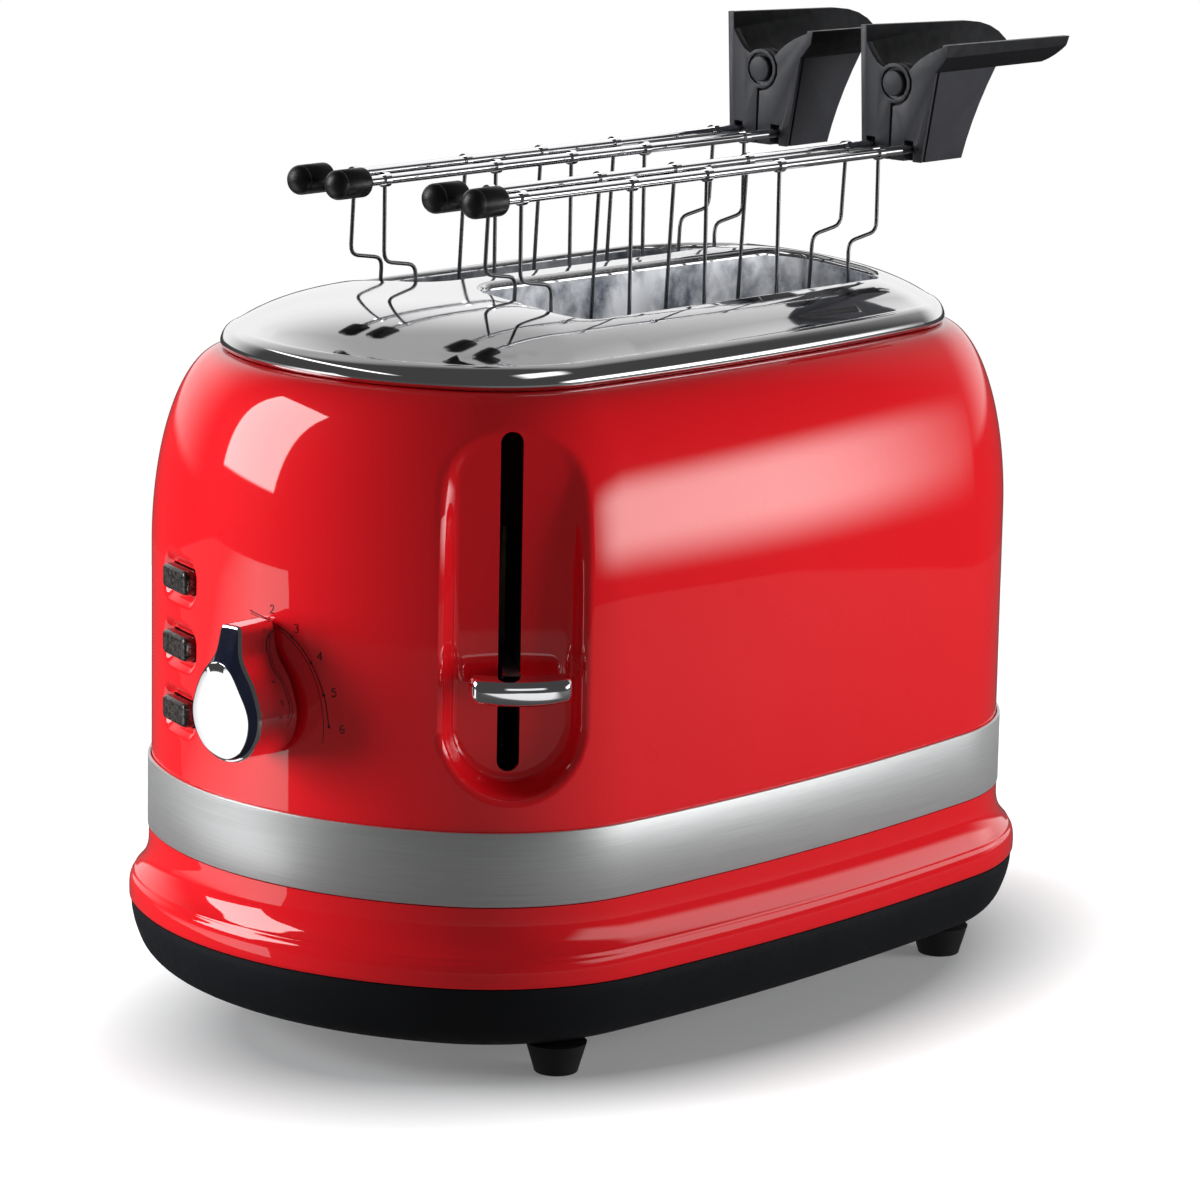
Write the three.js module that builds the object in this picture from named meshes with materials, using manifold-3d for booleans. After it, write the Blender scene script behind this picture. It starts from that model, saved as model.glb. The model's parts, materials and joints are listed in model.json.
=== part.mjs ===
// A two slot toaster with sandwich cages, in millimetres, +Z up.
// The control end faces -Y, the bread slots run along Y, and X is across.
import * as THREE from 'three';
import { mergeVertices } from 'three/addons/utils/BufferGeometryUtils.js';
import Module from 'manifold-3d';

const wasm = await Module();
wasm.setup();

// Plan outline of the body wall: four shallow arcs joined by corner arcs
const plan = { halfWidth: 88.7, halfLength: 137.6, sideBulge: 11.9, endBulge: 46, cornerRadius: 59.9 };

// Clearances: seat between resting pieces, running between moving ones
const fit = { seat: 0.3, running: 0.4, overrun: 2 };

// Heights of the stacked body pieces above the floor
const stack = { footHeight: 9, floorThickness: 3.4, baseTop: 29.7, skirtHeight: 21.5, bandHeight: 20.8 };

const base = { lip: 5, wall: 2.4, floorInset: 6, underRise: 4, bellyRise: 8.5 };
const foot = { insetX: 20, insetY: 51.2, topRadius: 8.6, bottomRadius: 6.4, chamfer: 0.8 };
const skirt = { wall: 1.4, flare: 5.6, sweepDrop: 9.5, beadDrop: 17, sweepOut: 1.5 };
const band = { proud: 0.3, thickness: 0.8 };
const shell = {
  inset: 0.8, wall: 1.2, shoulderStart: 135,
  shoulderRise: 56, shoulderRun: 20.5, flange: 2.4,
};
const plate = {
  crown: 211.2, rimDrop: 9.6, beadInset: 1.1, beadWidth: 5.8,
  sheet: 1, ridge: 40, capShare: 0.93,
};
const slot = { centre: 26.2, halfWidth: 20.3, endMargin: 66, centreY: 11.2, corner: 12 };
const liner = { sheet: 0.8, depth: 17.6 };

// Lever recess in the front right corner of the shell, and the slot cut in its floor
const recess = {
  angle: 50, depth: 9.5, floorHalf: 15.6, mouthHalf: 21.8,
  low: 87, high: 181.5, lipDepth: 4,
};
const cut = { half: 3.1, low: 90.1, high: 182.9 };
const lever = {
  height: 113.8, width: 27.9, tall: 6.8, deep: 10,
  front: 9.2, bow: 1.6, socket: 5, travel: 62,
};

// Control end
const knob = {
  x: 4.5, z: 101.5, radius: 13.2, tip: 25,
  tipRadius: 2.6, deep: 15.6, bevel: 1.4, lift: 0.9,
};
const shaft = { radius: 3, inKnob: 9, hole: 4.2 };
const button = {
  angle: -21.5, first: 92, pitch: 19, count: 3, width: 15.4,
  tall: 8, corner: 2, proud: 3.4, body: 7,
};
const buttonFlange = { margin: 1.3, thickness: 1.4, setBack: 1 };
const board = {
  setBack: 26.8, thickness: 1.6, leftMargin: 15.4, rightMargin: 21.5, below: 14, above: 10,
  potRadius: 8, potDepth: 7, switchHalf: 3, switchReach: 6.4,
};
const bracket = { upright: 3, depth: 5, strip: 1.5, shelf: 3 };

// Inside: chassis, heaters, carriage
const chassis = {
  frontGap: 5.6, rearGap: 6.2, sheet: 1, sideGap: 14.7,
  top: 183, cornerRun: 16, cornerDrop: 34,
};
const tunnel = { halfWidth: 60, top: 20 };
const heater = { offset: 22.4, sheet: 1, bottom: 40, top: 178 };
const guide = { offset: 19.3, wire: 1.4, bottom: 62, drop: 0.5, count: 6 };
const rack = {
  top: 82, depth: 5, blade: 3, barHalf: 17.4, bar: 2.4,
  bars: 4, barDepth: 3, rearInset: 3, endInset: 18,
};
const rod = { x: 14, ahead: 14, radius: 3, tab: 1.2, tabMargin: 7, tabHalf: 9 };
const slider = {
  bush: 6, bushTall: 16, bridgeHalf: 30, bridgeTall: 8, bridgeDeep: 3,
  webHalf: 8, armTall: 6, armWide: 4.2,
};
const arm = { reach: 16, armature: 2, armatureHalf: 6 };
const spring = { coil: 5.2, wire: 0.9, turns: 9, stepsPerTurn: 8, sides: 5 };
const magnet = { x: -10, ahead: 18, half: 11, deep: 16, core: 5, coreRise: 6 };
const tray = {
  halfWidth: 56, sheet: 1, wall: 3.5, frontGap: 6, rearInset: 17.6,
  pullReach: 25, pullHalf: 26, lipDrop: 3,
};
const gland = { z: 88, outer: 6.4, bore: 3.6, proud: 3, flange: 2.2, grip: 5 };

// Sandwich cages
const cage = { rail: 239.5, railRadius: 1.5, halfGap: 7.4, wire: 0.6, pitch: 32.7, tiltAngle: 3.4 };
const wireRun = { overhang: 7.3, dropTo: 216, jogIn: 13, jogFall: 2, bend: 3, clipLength: 3 };
const tip = { beyond: 24, length: 19.5, radius: 4.3, dome: 3.4, shoulder: 1.6 };
const grip = {
  beyond: 14.6, face: 2.6, wall: 2.2, slit: 0.35, slitTop: 1.2, pivotShift: 1, pivotRise: 19.3,
  footDrop: 3.8, boss: 6.1, bossGap: 0.8, lug: 2.4, pin: 2.2, head: 4, headProud: 0.8, socket: 14,
  socketWall: 1.1, well: 1, wellDepth: 0.8, crease: 0.7, creaseAt: 1, creaseWide: 1,
};
const gripLeft = {
  foot: 10.6, top: 12.4, topRise: 35.9, notch: 5.6, notchRise: 25,
  armLow: 24, armEnd: 72, armStart: 50, armTop: 34.2,
};
const gripRight = {
  foot: 12, top: 18.2, topRise: 32.2, notch: 6.9, notchRise: 23.8,
  armLow: 23.6, armEnd: 60.2, armStart: 52.5, armTop: 31.4, lip: 3.2, lipRise: 28.4,
};
const side = { footReach: 20, wallReach: 29.5 };
const railNotch = { reach: 3.4, rise: 2.6 };

// Facets
const steps = {
  side: 2, corner: 5, end: 4, round: 10, small: 6,
  fine: 14, rail: 6, wire: 5, slotCorner: 4, cap: 6, bend: 5,
};

// Outlines as shares of the sizes that they follow, each pair across and up
const skirtShares = [[0.6, 0.35], [0.88, 0.7]];
const recessShares = [[0.25, 0.22], [0.7, 0.4], [1, 0.65], [1.36, 0.85]];
const beadShares = [[0, 0.18], [0, 0.45], [0.16, 0.72], [0.48, 0.92]];
const underCapShares = [0.93, 0.6, 0.3, 0];
const tipShares = { dome: [0.62, 0.22], rear: 0.78 };

// Control points of the grip's bends, across and up between the ends of each
const leftFaceShares = [0.58, 0.34];
const rightFaceShares = [0.3, 0.62];
const wallShares = [0.21, 0.5];
const leftArmShares = [0.27, 0.9];
const rightArmShares = [0.9, 0.2];
const leverRearShare = 0.94;
const bossArcShares = [-0.56, 0.74];

const material = {
  red: new THREE.MeshStandardMaterial({ color: 0xd01018, roughness: 0.15, metalness: 0.1 }),
  steel: new THREE.MeshStandardMaterial({ color: 0xb4b3b0, roughness: 0.4, metalness: 1 }),
  chrome: new THREE.MeshStandardMaterial({ color: 0xd8d8da, roughness: 0.06, metalness: 1 }),
  black: new THREE.MeshStandardMaterial({ color: 0x17181a, roughness: 0.6, metalness: 0 }),
  rubber: new THREE.MeshStandardMaterial({ color: 0x101010, roughness: 0.8, metalness: 0 }),
  grip: new THREE.MeshStandardMaterial({ color: 0x2b2c30, roughness: 0.55, metalness: 0 }),
  smoke: new THREE.MeshStandardMaterial({ color: 0x4a4038, roughness: 0.3, metalness: 0.3 }),
  zinc: new THREE.MeshStandardMaterial({ color: 0x9a9da0, roughness: 0.45, metalness: 1 }),
  mica: new THREE.MeshStandardMaterial({ color: 0xb9a98a, roughness: 0.7, metalness: 0 }),
  circuit: new THREE.MeshStandardMaterial({ color: 0x2f5a35, roughness: 0.6, metalness: 0 }),
};

const toaster = new THREE.Group();

// Solids and conversions

function toSolid(geometry) {
  const bare = geometry.clone();
  bare.deleteAttribute('normal');
  bare.deleteAttribute('uv');
  const merged = mergeVertices(bare);
  const mesh = new wasm.Mesh({
    numProp: 3,
    vertProperties: merged.attributes.position.array,
    triVerts: new Uint32Array(merged.index.array),
  });
  return new wasm.Manifold(mesh);
}

function toGeometry(solid) {
  const mesh = solid.getMesh();
  const geometry = new THREE.BufferGeometry();
  geometry.setAttribute('position', new THREE.BufferAttribute(mesh.vertProperties, mesh.numProp));
  geometry.setIndex(new THREE.BufferAttribute(mesh.triVerts, 1));
  geometry.computeVertexNormals();
  return geometry;
}

function add(name, shape, look) {
  const geometry = shape.isBufferGeometry ? shape : toGeometry(shape);
  const mesh = new THREE.Mesh(geometry, look);
  mesh.name = name;
  toaster.add(mesh);
  return mesh;
}

function union(solids) {
  return solids.reduce((whole, piece) => whole.add(piece));
}

function boxGeometry(low, high) {
  const size = new THREE.Vector3().subVectors(high, low);
  const geometry = new THREE.BoxGeometry(size.x, size.y, size.z);
  const middle = new THREE.Vector3().addVectors(low, high).multiplyScalar(0.5);
  return geometry.translate(middle.x, middle.y, middle.z);
}

function box(x0, x1, y0, y1, z0, z1) {
  return toSolid(boxGeometry(new THREE.Vector3(x0, y0, z0), new THREE.Vector3(x1, y1, z1)));
}

// A closed body from rings of equal length: a closed loop of rings, or capped at both ends
function loft(rings, looped = false) {
  const count = rings[0].length;
  const positions = rings.flat().flatMap((p) => [p.x, p.y, p.z]);
  const index = [];
  const last = looped ? rings.length : rings.length - 1;
  for (let r = 0; r < last; r += 1) {
    const here = r * count;
    const next = ((r + 1) % rings.length) * count;
    for (let i = 0; i < count; i += 1) {
      const j = (i + 1) % count;
      index.push(here + i, here + j, next + j);
      index.push(here + i, next + j, next + i);
    }
  }
  if (!looped) {
    const top = (rings.length - 1) * count;
    for (let i = 1; i < count - 1; i += 1) {
      index.push(0, i + 1, i);
      index.push(top, top + i, top + i + 1);
    }
  }
  const geometry = new THREE.BufferGeometry();
  geometry.setAttribute('position', new THREE.Float32BufferAttribute(positions, 3));
  geometry.setIndex(index);
  if (signedVolume(positions, index) < 0) index.reverse();
  geometry.setIndex(index);
  geometry.computeVertexNormals();
  return geometry;
}

function signedVolume(positions, index) {
  let sum = 0;
  const corner = (k) => new THREE.Vector3().fromArray(positions, 3 * index[k]);
  for (let k = 0; k < index.length; k += 3) {
    sum += corner(k).dot(corner(k + 1).cross(corner(k + 2)));
  }
  return sum;
}

function linspace(from, to, count) {
  return Array.from({ length: count + 1 }, (_, i) => from + ((to - from) * i) / count);
}

// Plan outline

function arcRadius(half, bulge) {
  return (half * half + bulge * bulge) / (2 * bulge);
}

const sideRadius = arcRadius(plan.halfLength, plan.sideBulge);
const endRadius = arcRadius(plan.halfWidth, plan.endBulge);
const sideCentre = new THREE.Vector2(plan.halfWidth - sideRadius, 0);
const endCentre = new THREE.Vector2(0, plan.halfLength - endRadius);

function findCornerCentre() {
  const r0 = sideRadius - plan.cornerRadius;
  const r1 = endRadius - plan.cornerRadius;
  const between = new THREE.Vector2().subVectors(endCentre, sideCentre);
  const d = between.length();
  const along = (r0 * r0 - r1 * r1 + d * d) / (2 * d);
  const across = Math.sqrt(Math.max(r0 * r0 - along * along, 0));
  const unit = between.clone().normalize();
  const middle = sideCentre.clone().addScaledVector(unit, along);
  return middle.add(new THREE.Vector2(-unit.y, unit.x).multiplyScalar(across));
}

const cornerCentre = findCornerCentre();
const sideTurn = cornerCentre.clone().sub(sideCentre).angle();
const endTurn = cornerCentre.clone().sub(endCentre).angle();

// A point of the outline where its normal makes this angle with +X, in the first quadrant
function quadrantPoint(angle, offset) {
  const normal = new THREE.Vector2(Math.cos(angle), Math.sin(angle));
  if (angle < sideTurn) return normal.multiplyScalar(sideRadius + offset).add(sideCentre);
  if (angle < endTurn) return normal.multiplyScalar(plan.cornerRadius + offset).add(cornerCentre);
  return normal.multiplyScalar(endRadius + offset).add(endCentre);
}

const quadrantAngles = [
  ...linspace(0, sideTurn, steps.side),
  ...linspace(sideTurn, endTurn, steps.corner).slice(1),
  ...linspace(endTurn, Math.PI / 2, steps.end).slice(1),
];

function outline(offset) {
  const quarter = quadrantAngles.map((angle) => quadrantPoint(angle, offset));
  const mirrored = (sx, sy) => quarter.map((p) => new THREE.Vector2(p.x * sx, p.y * sy));
  const second = mirrored(-1, 1).reverse().slice(1);
  const third = mirrored(-1, -1).slice(1);
  const fourth = mirrored(1, -1).reverse().slice(1, -1);
  return [...quarter, ...second, ...third, ...fourth];
}

function ring(offset, z) {
  return outline(offset).map((p) => new THREE.Vector3(p.x, p.y, z));
}

function rings(profile) {
  return profile.map(([offset, z]) => ring(offset, z));
}

// A frame on the body wall: x runs along the wall, y up, and z out of the wall
function wallFrame(degrees, height) {
  const angle = THREE.MathUtils.degToRad(degrees);
  const spot = quadrantPoint(Math.PI / 2 - Math.abs(angle), -shell.inset);
  const along = new THREE.Vector3(Math.cos(angle), Math.sin(angle), 0);
  const out = new THREE.Vector3(Math.sin(angle), -Math.cos(angle), 0);
  const matrix = new THREE.Matrix4().makeBasis(along, new THREE.Vector3(0, 0, 1), out);
  matrix.setPosition(Math.sign(angle) * spot.x, -spot.y, height);
  return matrix;
}

// Flat shapes and extrusions

const drawnOnXZ = new THREE.Matrix4().makeBasis(
  new THREE.Vector3(1, 0, 0), new THREE.Vector3(0, 0, 1), new THREE.Vector3(0, -1, 0));
const drawnOnYZ = new THREE.Matrix4().makeBasis(
  new THREE.Vector3(0, 1, 0), new THREE.Vector3(0, 0, 1), new THREE.Vector3(1, 0, 0));

function polygon(points) {
  return new THREE.Shape(points.map(([x, y]) => new THREE.Vector2(x, y)));
}

// A curve between two points of an outline, its control point at shares of the way
function bend(from, to, shares) {
  const control = from.map((start, i) => start + (to[i] - start) * shares[i]);
  const points = [from, control, to].map(([x, y]) => new THREE.Vector2(x, y));
  return new THREE.QuadraticBezierCurve(...points).getPoints(steps.bend).map((p) => [p.x, p.y]);
}

function extrude(shape, depth) {
  return new THREE.ExtrudeGeometry(shape, { depth, bevelEnabled: false, steps: 1 });
}

// A plate drawn on X and Z, from y0 to y1
function plateXZ(shape, y0, y1) {
  return toSolid(extrude(shape, y1 - y0).applyMatrix4(drawnOnXZ).translate(0, y1, 0));
}

// A plate drawn on Y and Z, from x0 to x1
function plateYZ(shape, x0, x1) {
  return toSolid(extrude(shape, x1 - x0).applyMatrix4(drawnOnYZ).translate(x0, 0, 0));
}

function roundedRectangle(halfX, halfY, radius, count) {
  const points = [];
  const centres = [[1, 1], [-1, 1], [-1, -1], [1, -1]];
  centres.forEach(([sx, sy], quarter) => {
    linspace(0, Math.PI / 2, count).forEach((turn) => {
      const angle = turn + (quarter * Math.PI) / 2;
      const x = sx * (halfX - radius) + radius * Math.cos(angle);
      const y = sy * (halfY - radius) + radius * Math.sin(angle);
      points.push(new THREE.Vector2(x, y));
    });
  });
  return points;
}

// An upright stadium: half width w, from low to high
function stadium(w, low, high, count = steps.small) {
  const points = [];
  linspace(0, Math.PI, count).forEach((t) => {
    points.push(new THREE.Vector2(w * Math.cos(t), high - w + w * Math.sin(t)));
  });
  linspace(Math.PI, 2 * Math.PI, count).forEach((t) => {
    points.push(new THREE.Vector2(w * Math.cos(t), low + w + w * Math.sin(t)));
  });
  return points;
}

function cylinderAt(radius, from, to, sides = steps.round) {
  const axis = new THREE.Vector3().subVectors(to, from);
  const geometry = new THREE.CylinderGeometry(radius, radius, axis.length(), sides);
  const up = new THREE.Vector3(0, 1, 0);
  geometry.applyQuaternion(new THREE.Quaternion().setFromUnitVectors(up, axis.clone().normalize()));
  const middle = from.clone().add(to).multiplyScalar(0.5);
  return geometry.translate(middle.x, middle.y, middle.z);
}

// Radius of a faceted bore whose flats clear a round pin by the gap
function boreRadius(pin, gap, sides = steps.round) {
  return (pin + gap) / Math.cos(Math.PI / sides);
}

// A turned piece: profile of radius and height pairs, starting and ending on the axis
function turned(profile, segments = steps.round) {
  const points = profile.map(([r, h]) => new THREE.Vector2(r, h));
  return new THREE.LatheGeometry(points, segments).rotateX(Math.PI / 2);
}

// Body pieces

const floorZ = stack.footHeight + stack.floorThickness;
const skirtBottom = stack.baseTop + fit.seat;
const skirtTop = skirtBottom + stack.skirtHeight;
const bandBottom = skirtTop + fit.seat;
const bandTop = bandBottom + stack.bandHeight;
const shellTop = shell.shoulderStart + shell.shoulderRise;
const linerLow = plate.crown - plate.rimDrop - liner.depth;
const slotHalfLength = plan.halfLength - slot.endMargin;
const chassisFront = slot.centreY - slotHalfLength - chassis.frontGap;
const chassisRear = slot.centreY + slotHalfLength + chassis.rearGap;
const insideY = chassisFront + chassis.sheet;
const boardY = board.setBack + shell.inset - plan.halfLength;
const rodY = chassisFront - rod.ahead;
const magnetY = chassisFront - magnet.ahead;
const trayRear = plan.halfLength - tray.rearInset;
const slotSides = [-1, 1];

function makeBase() {
  const under = stack.footHeight;
  const inner = base.lip - base.wall;
  const solid = toSolid(loft(rings([
    [-base.floorInset, under],
    [base.lip - base.bellyRise / 2, under + base.underRise / 2],
    [base.lip - base.underRise / 2, under + base.bellyRise],
    [base.lip, stack.baseTop - base.underRise],
    [base.lip, stack.baseTop],
    [inner, stack.baseTop],
    [inner, stack.baseTop - base.underRise],
    [inner - base.underRise / 2, under + base.bellyRise],
    [inner - base.bellyRise, floorZ],
  ])));
  const wide = tray.halfWidth + fit.running;
  const trayTop = floorZ + fit.seat + tray.sheet + tray.wall + fit.running;
  const beyond = plan.halfLength + 2 * base.lip;
  return solid.subtract(box(-wide, wide, chassisRear, beyond, floorZ, trayTop));
}

function makeFoot(x, y) {
  const top = stack.footHeight - fit.seat;
  const geometry = turned([
    [0, 0],
    [foot.bottomRadius - foot.chamfer, 0],
    [foot.bottomRadius, foot.chamfer],
    [foot.topRadius, top],
    [0, top],
  ]);
  return geometry.translate(x, y, 0);
}

function makeSkirt() {
  const sweep = skirtTop - skirt.sweepDrop;
  const bead = skirtTop - skirt.beadDrop;
  const bulge = skirt.flare - skirt.sweepOut;
  const outer = [
    [0, skirtTop],
    [0, skirtTop - skirt.sweepDrop / 2],
    [skirt.sweepOut / 3, sweep + skirt.sweepDrop / 4],
    [skirt.sweepOut, sweep],
    ...skirtShares.map(([across, down]) => [
      skirt.sweepOut + bulge * across,
      sweep - (sweep - bead) * down,
    ]),
    [skirt.flare, bead],
    [skirt.flare, skirtBottom],
  ];
  const inner = [
    [skirt.flare - skirt.wall, skirtBottom],
    [skirt.flare - skirt.wall, bead],
    [skirt.sweepOut - skirt.wall, sweep],
    [-skirt.wall, skirtTop - skirt.sweepDrop / 2],
    [-skirt.wall, skirtTop],
  ];
  return loft(rings([...outer, ...inner]), true);
}

function makeBand() {
  const inner = band.proud - band.thickness;
  const edge = band.thickness / 4;
  return loft(rings([
    [inner, bandBottom],
    [band.proud - edge, bandBottom],
    [band.proud, bandBottom + edge],
    [band.proud, bandTop - edge],
    [band.proud - edge, bandTop],
    [inner, bandTop],
  ]), true);
}

// The shell's wall and shoulder, a quarter ellipse on top of a straight wall
function shellProfile(inward, bottom) {
  const arc = linspace(0, Math.PI / 2, steps.small).map((turn) => [
    -shell.inset - shell.shoulderRun + (shell.shoulderRun - inward) * Math.cos(turn),
    shell.shoulderStart + (shell.shoulderRise - inward) * Math.sin(turn),
  ]);
  return [[-shell.inset - inward, bottom], ...arc];
}

// Stadium rings from the recess floor out to its rolled mouth
function recessCutter(grow) {
  const floor = -recess.depth - grow;
  const mouth = recess.mouthHalf - recess.floorHalf;
  const rise = recess.depth - recess.lipDepth;
  const levels = [
    [floor, 0],
    ...recessShares.map(([up, across]) => [rise * up - recess.depth, mouth * across]),
    [0, mouth],
    [recess.depth, mouth],
  ];
  const ringAt = ([depth, spread]) => {
    const half = recess.floorHalf + spread + grow;
    const low = recess.low - spread - grow;
    const high = recess.high + spread + grow;
    return stadium(half, low, high, steps.round).map((p) => new THREE.Vector3(p.x, p.y, depth));
  };
  return toSolid(loft(levels.map(ringAt)).applyMatrix4(wallFrame(recess.angle, 0)));
}

function leverCut() {
  const depth = recess.depth + shell.wall + fit.overrun;
  const shape = new THREE.Shape(stadium(cut.half, cut.low, cut.high));
  const geometry = extrude(shape, depth).translate(0, 0, -depth);
  return toSolid(geometry.applyMatrix4(wallFrame(recess.angle, 0)));
}

function buttonHeight(i) {
  return button.first + i * button.pitch;
}

function buttonBlock(grow, from, to, z) {
  const halfWidth = button.width / 2 + grow;
  const points = roundedRectangle(halfWidth, button.tall / 2 + grow, button.corner, steps.side);
  const geometry = extrude(new THREE.Shape(points), to - from).translate(0, 0, from);
  return toSolid(geometry.applyMatrix4(wallFrame(button.angle, z)));
}

function makeShell() {
  const overrun = fit.overrun;
  const bottom = bandBottom;
  const outer = toSolid(loft(rings(shellProfile(0, bottom)))).subtract(recessCutter(0));
  const hollow = toSolid(loft(rings(shellProfile(shell.wall, bottom - overrun))));
  const inner = hollow.subtract(recessCutter(shell.wall));
  const mouthOffset = -shell.inset - shell.shoulderRun - shell.flange;
  const mouthRun = [[mouthOffset, shell.shoulderStart], [mouthOffset, shellTop + overrun]];
  const mouth = toSolid(loft(rings(mouthRun)));
  const wallY = plan.halfLength;
  const shaftHole = toSolid(cylinderAt(shaft.hole,
    new THREE.Vector3(knob.x, -wallY - overrun, knob.z),
    new THREE.Vector3(knob.x, boardY, knob.z)));
  const glandHole = toSolid(cylinderAt(boreRadius(gland.outer, fit.seat),
    new THREE.Vector3(0, chassisRear + gland.outer, gland.z),
    new THREE.Vector3(0, wallY + overrun, gland.z)));
  let solid = outer.subtract(inner).subtract(mouth).subtract(leverCut());
  solid = solid.subtract(shaftHole).subtract(glandHole);
  for (let i = 0; i < button.count; i += 1) {
    const hole = buttonBlock(fit.running, -shell.wall - overrun, overrun, buttonHeight(i));
    solid = solid.subtract(hole);
  }
  return solid;
}

// Top plate: a dome over a ridge line, ending in a rolled bead

const plateEdge = -shell.inset - shell.shoulderRun + plate.beadInset;
const domeEdge = plateEdge - plate.beadWidth;
const domeRise = plate.rimDrop;

function domeRing(share, lower) {
  return outline(domeEdge).map((p) => {
    const ridgeY = THREE.MathUtils.clamp(p.y, -plate.ridge, plate.ridge);
    const x = p.x * (1 - share);
    const y = p.y + (ridgeY - p.y) * share;
    return new THREE.Vector3(x, y, plate.crown - domeRise * (1 - share) ** 2 - lower);
  });
}

// Distance from a point of the ridge line to the dome's edge, in a given direction
function edgeReach(ridgeY, direction) {
  const edge = outline(domeEdge);
  const from = new THREE.Vector2(0, ridgeY);
  let reach = plan.halfLength;
  edge.forEach((p, i) => {
    const a = p.clone().sub(from);
    const along = edge[(i + 1) % edge.length].clone().sub(p);
    const slant = direction.cross(along);
    const distance = a.cross(along) / slant;
    const share = a.cross(direction) / slant;
    if (distance > 0 && share >= 0 && share <= 1) reach = Math.min(reach, distance);
  });
  return reach;
}

// Height of the dome above any point of the plan
function domeHeight(x, y) {
  const ridgeY = THREE.MathUtils.clamp(y, -plate.ridge, plate.ridge);
  const away = new THREE.Vector2(x, y - ridgeY);
  const share = away.length() / edgeReach(ridgeY, away.clone().normalize());
  return plate.crown - domeRise * Math.min(share, 1) ** 2;
}

function makeTopPlate() {
  const rim = plate.crown - domeRise;
  const foot = shellTop + fit.seat;
  const tall = rim - foot;
  const bead = [
    [plateEdge - plate.sheet, foot],
    ...beadShares.map(([across, up]) => [plateEdge - plate.beadWidth * across, foot + tall * up]),
  ];
  const lowered = bead.slice(1).reverse().map(([o, z]) => [o - plate.sheet, z - plate.sheet]);
  const shares = linspace(0, plate.capShare, steps.cap);
  const under = underCapShares.map((share) => domeRing(share, plate.sheet));
  const over = shares.map((share) => domeRing(share, 0));
  const lip = ring(plateEdge - 2 * plate.sheet, foot);
  const sheet = loft([...under, ...rings(lowered), lip, ...rings(bead), ...over]);
  return slotSides.reduce((solid, s) => solid.subtract(slotPrism(s)), toSolid(sheet));
}

function slotOutline(grow) {
  const halfWidth = slot.halfWidth + grow;
  const halfLength = slotHalfLength + grow;
  return roundedRectangle(halfWidth, halfLength, slot.corner + grow, steps.slotCorner);
}

function slotPrism(s) {
  const low = shellTop;
  const geometry = extrude(new THREE.Shape(slotOutline(0)), plate.crown + fit.overrun - low);
  return toSolid(geometry.translate(s * slot.centre, slot.centreY, low));
}

function makeLiner(s) {
  const top = (grow) => {
    return slotOutline(grow).map((p) => {
      const x = p.x + s * slot.centre;
      const y = p.y + slot.centreY;
      return new THREE.Vector3(x, y, domeHeight(x, y) - plate.sheet - 2 * fit.seat);
    });
  };
  const low = linerLow;
  const bottom = (grow) => top(grow).map((p) => new THREE.Vector3(p.x, p.y, low));
  return loft([top(0), top(liner.sheet), bottom(liner.sheet), bottom(0)], true);
}

// Chassis, heaters and guides

function chassisShape(low) {
  const w = plan.halfWidth - chassis.sideGap;
  return polygon([
    [-w, low],
    [w, low],
    [w, chassis.top - chassis.cornerDrop],
    [w - chassis.cornerRun, chassis.top],
    [chassis.cornerRun - w, chassis.top],
    [-w, chassis.top - chassis.cornerDrop],
  ]);
}

function makeFrontChassis() {
  const y0 = chassisFront;
  const y1 = insideY;
  let solid = plateXZ(chassisShape(floorZ + fit.seat), y0, y1);
  const half = rack.blade / 2 + fit.running;
  slotSides.forEach((s) => {
    const x = s * slot.centre;
    const low = rack.top - rack.depth - fit.overrun;
    const high = rack.top + lever.travel + fit.overrun;
    solid = solid.subtract(box(x - half, x + half, y0 - fit.overrun, y1 + fit.overrun, low, high));
  });
  const tab = box(
    rod.x - rod.tabHalf, rod.x + rod.tabHalf,
    rodY - rod.tabMargin, y1, chassis.top - rod.tab, chassis.top);
  const bore = toSolid(cylinderAt(boreRadius(rod.radius, fit.seat),
    new THREE.Vector3(rod.x, rodY, chassis.top - fit.overrun),
    new THREE.Vector3(rod.x, rodY, chassis.top + fit.overrun)));
  return solid.add(tab).subtract(bore);
}

function makeRearChassis() {
  const y0 = chassisRear;
  const y1 = y0 + chassis.sheet;
  const solid = plateXZ(chassisShape(floorZ + fit.seat), y0, y1);
  const half = tunnel.halfWidth;
  return solid.subtract(box(-half, half, y0 - fit.overrun, y1 + fit.overrun, floorZ, tunnel.top));
}

function makeHeaterBoard(x) {
  const half = heater.sheet / 2;
  return boxGeometry(
    new THREE.Vector3(x - half, insideY + fit.seat, heater.bottom),
    new THREE.Vector3(x + half, chassisRear - fit.seat, heater.top));
}

// A flat grille of square wire that keeps the bread off a heater
function makeGuide(x) {
  const low = guide.bottom;
  const high = linerLow - guide.drop;
  const y0 = insideY + fit.seat;
  const y1 = chassisRear - fit.seat;
  const half = guide.wire / 2;
  const through = half + fit.overrun;
  const pitch = (y1 - y0 - guide.wire) / guide.count;
  let grille = box(x - half, x + half, y0, y1, low, high);
  for (let i = 0; i < guide.count; i += 1) {
    const start = y0 + guide.wire + pitch * i;
    const end = start + pitch - guide.wire;
    const window = box(x - through, x + through, start, end, low + guide.wire, high - guide.wire);
    grille = grille.subtract(window);
  }
  return grille;
}

function makeRod() {
  return cylinderAt(rod.radius,
    new THREE.Vector3(rod.x, rodY, floorZ + fit.seat),
    new THREE.Vector3(rod.x, rodY, chassis.top));
}

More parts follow.
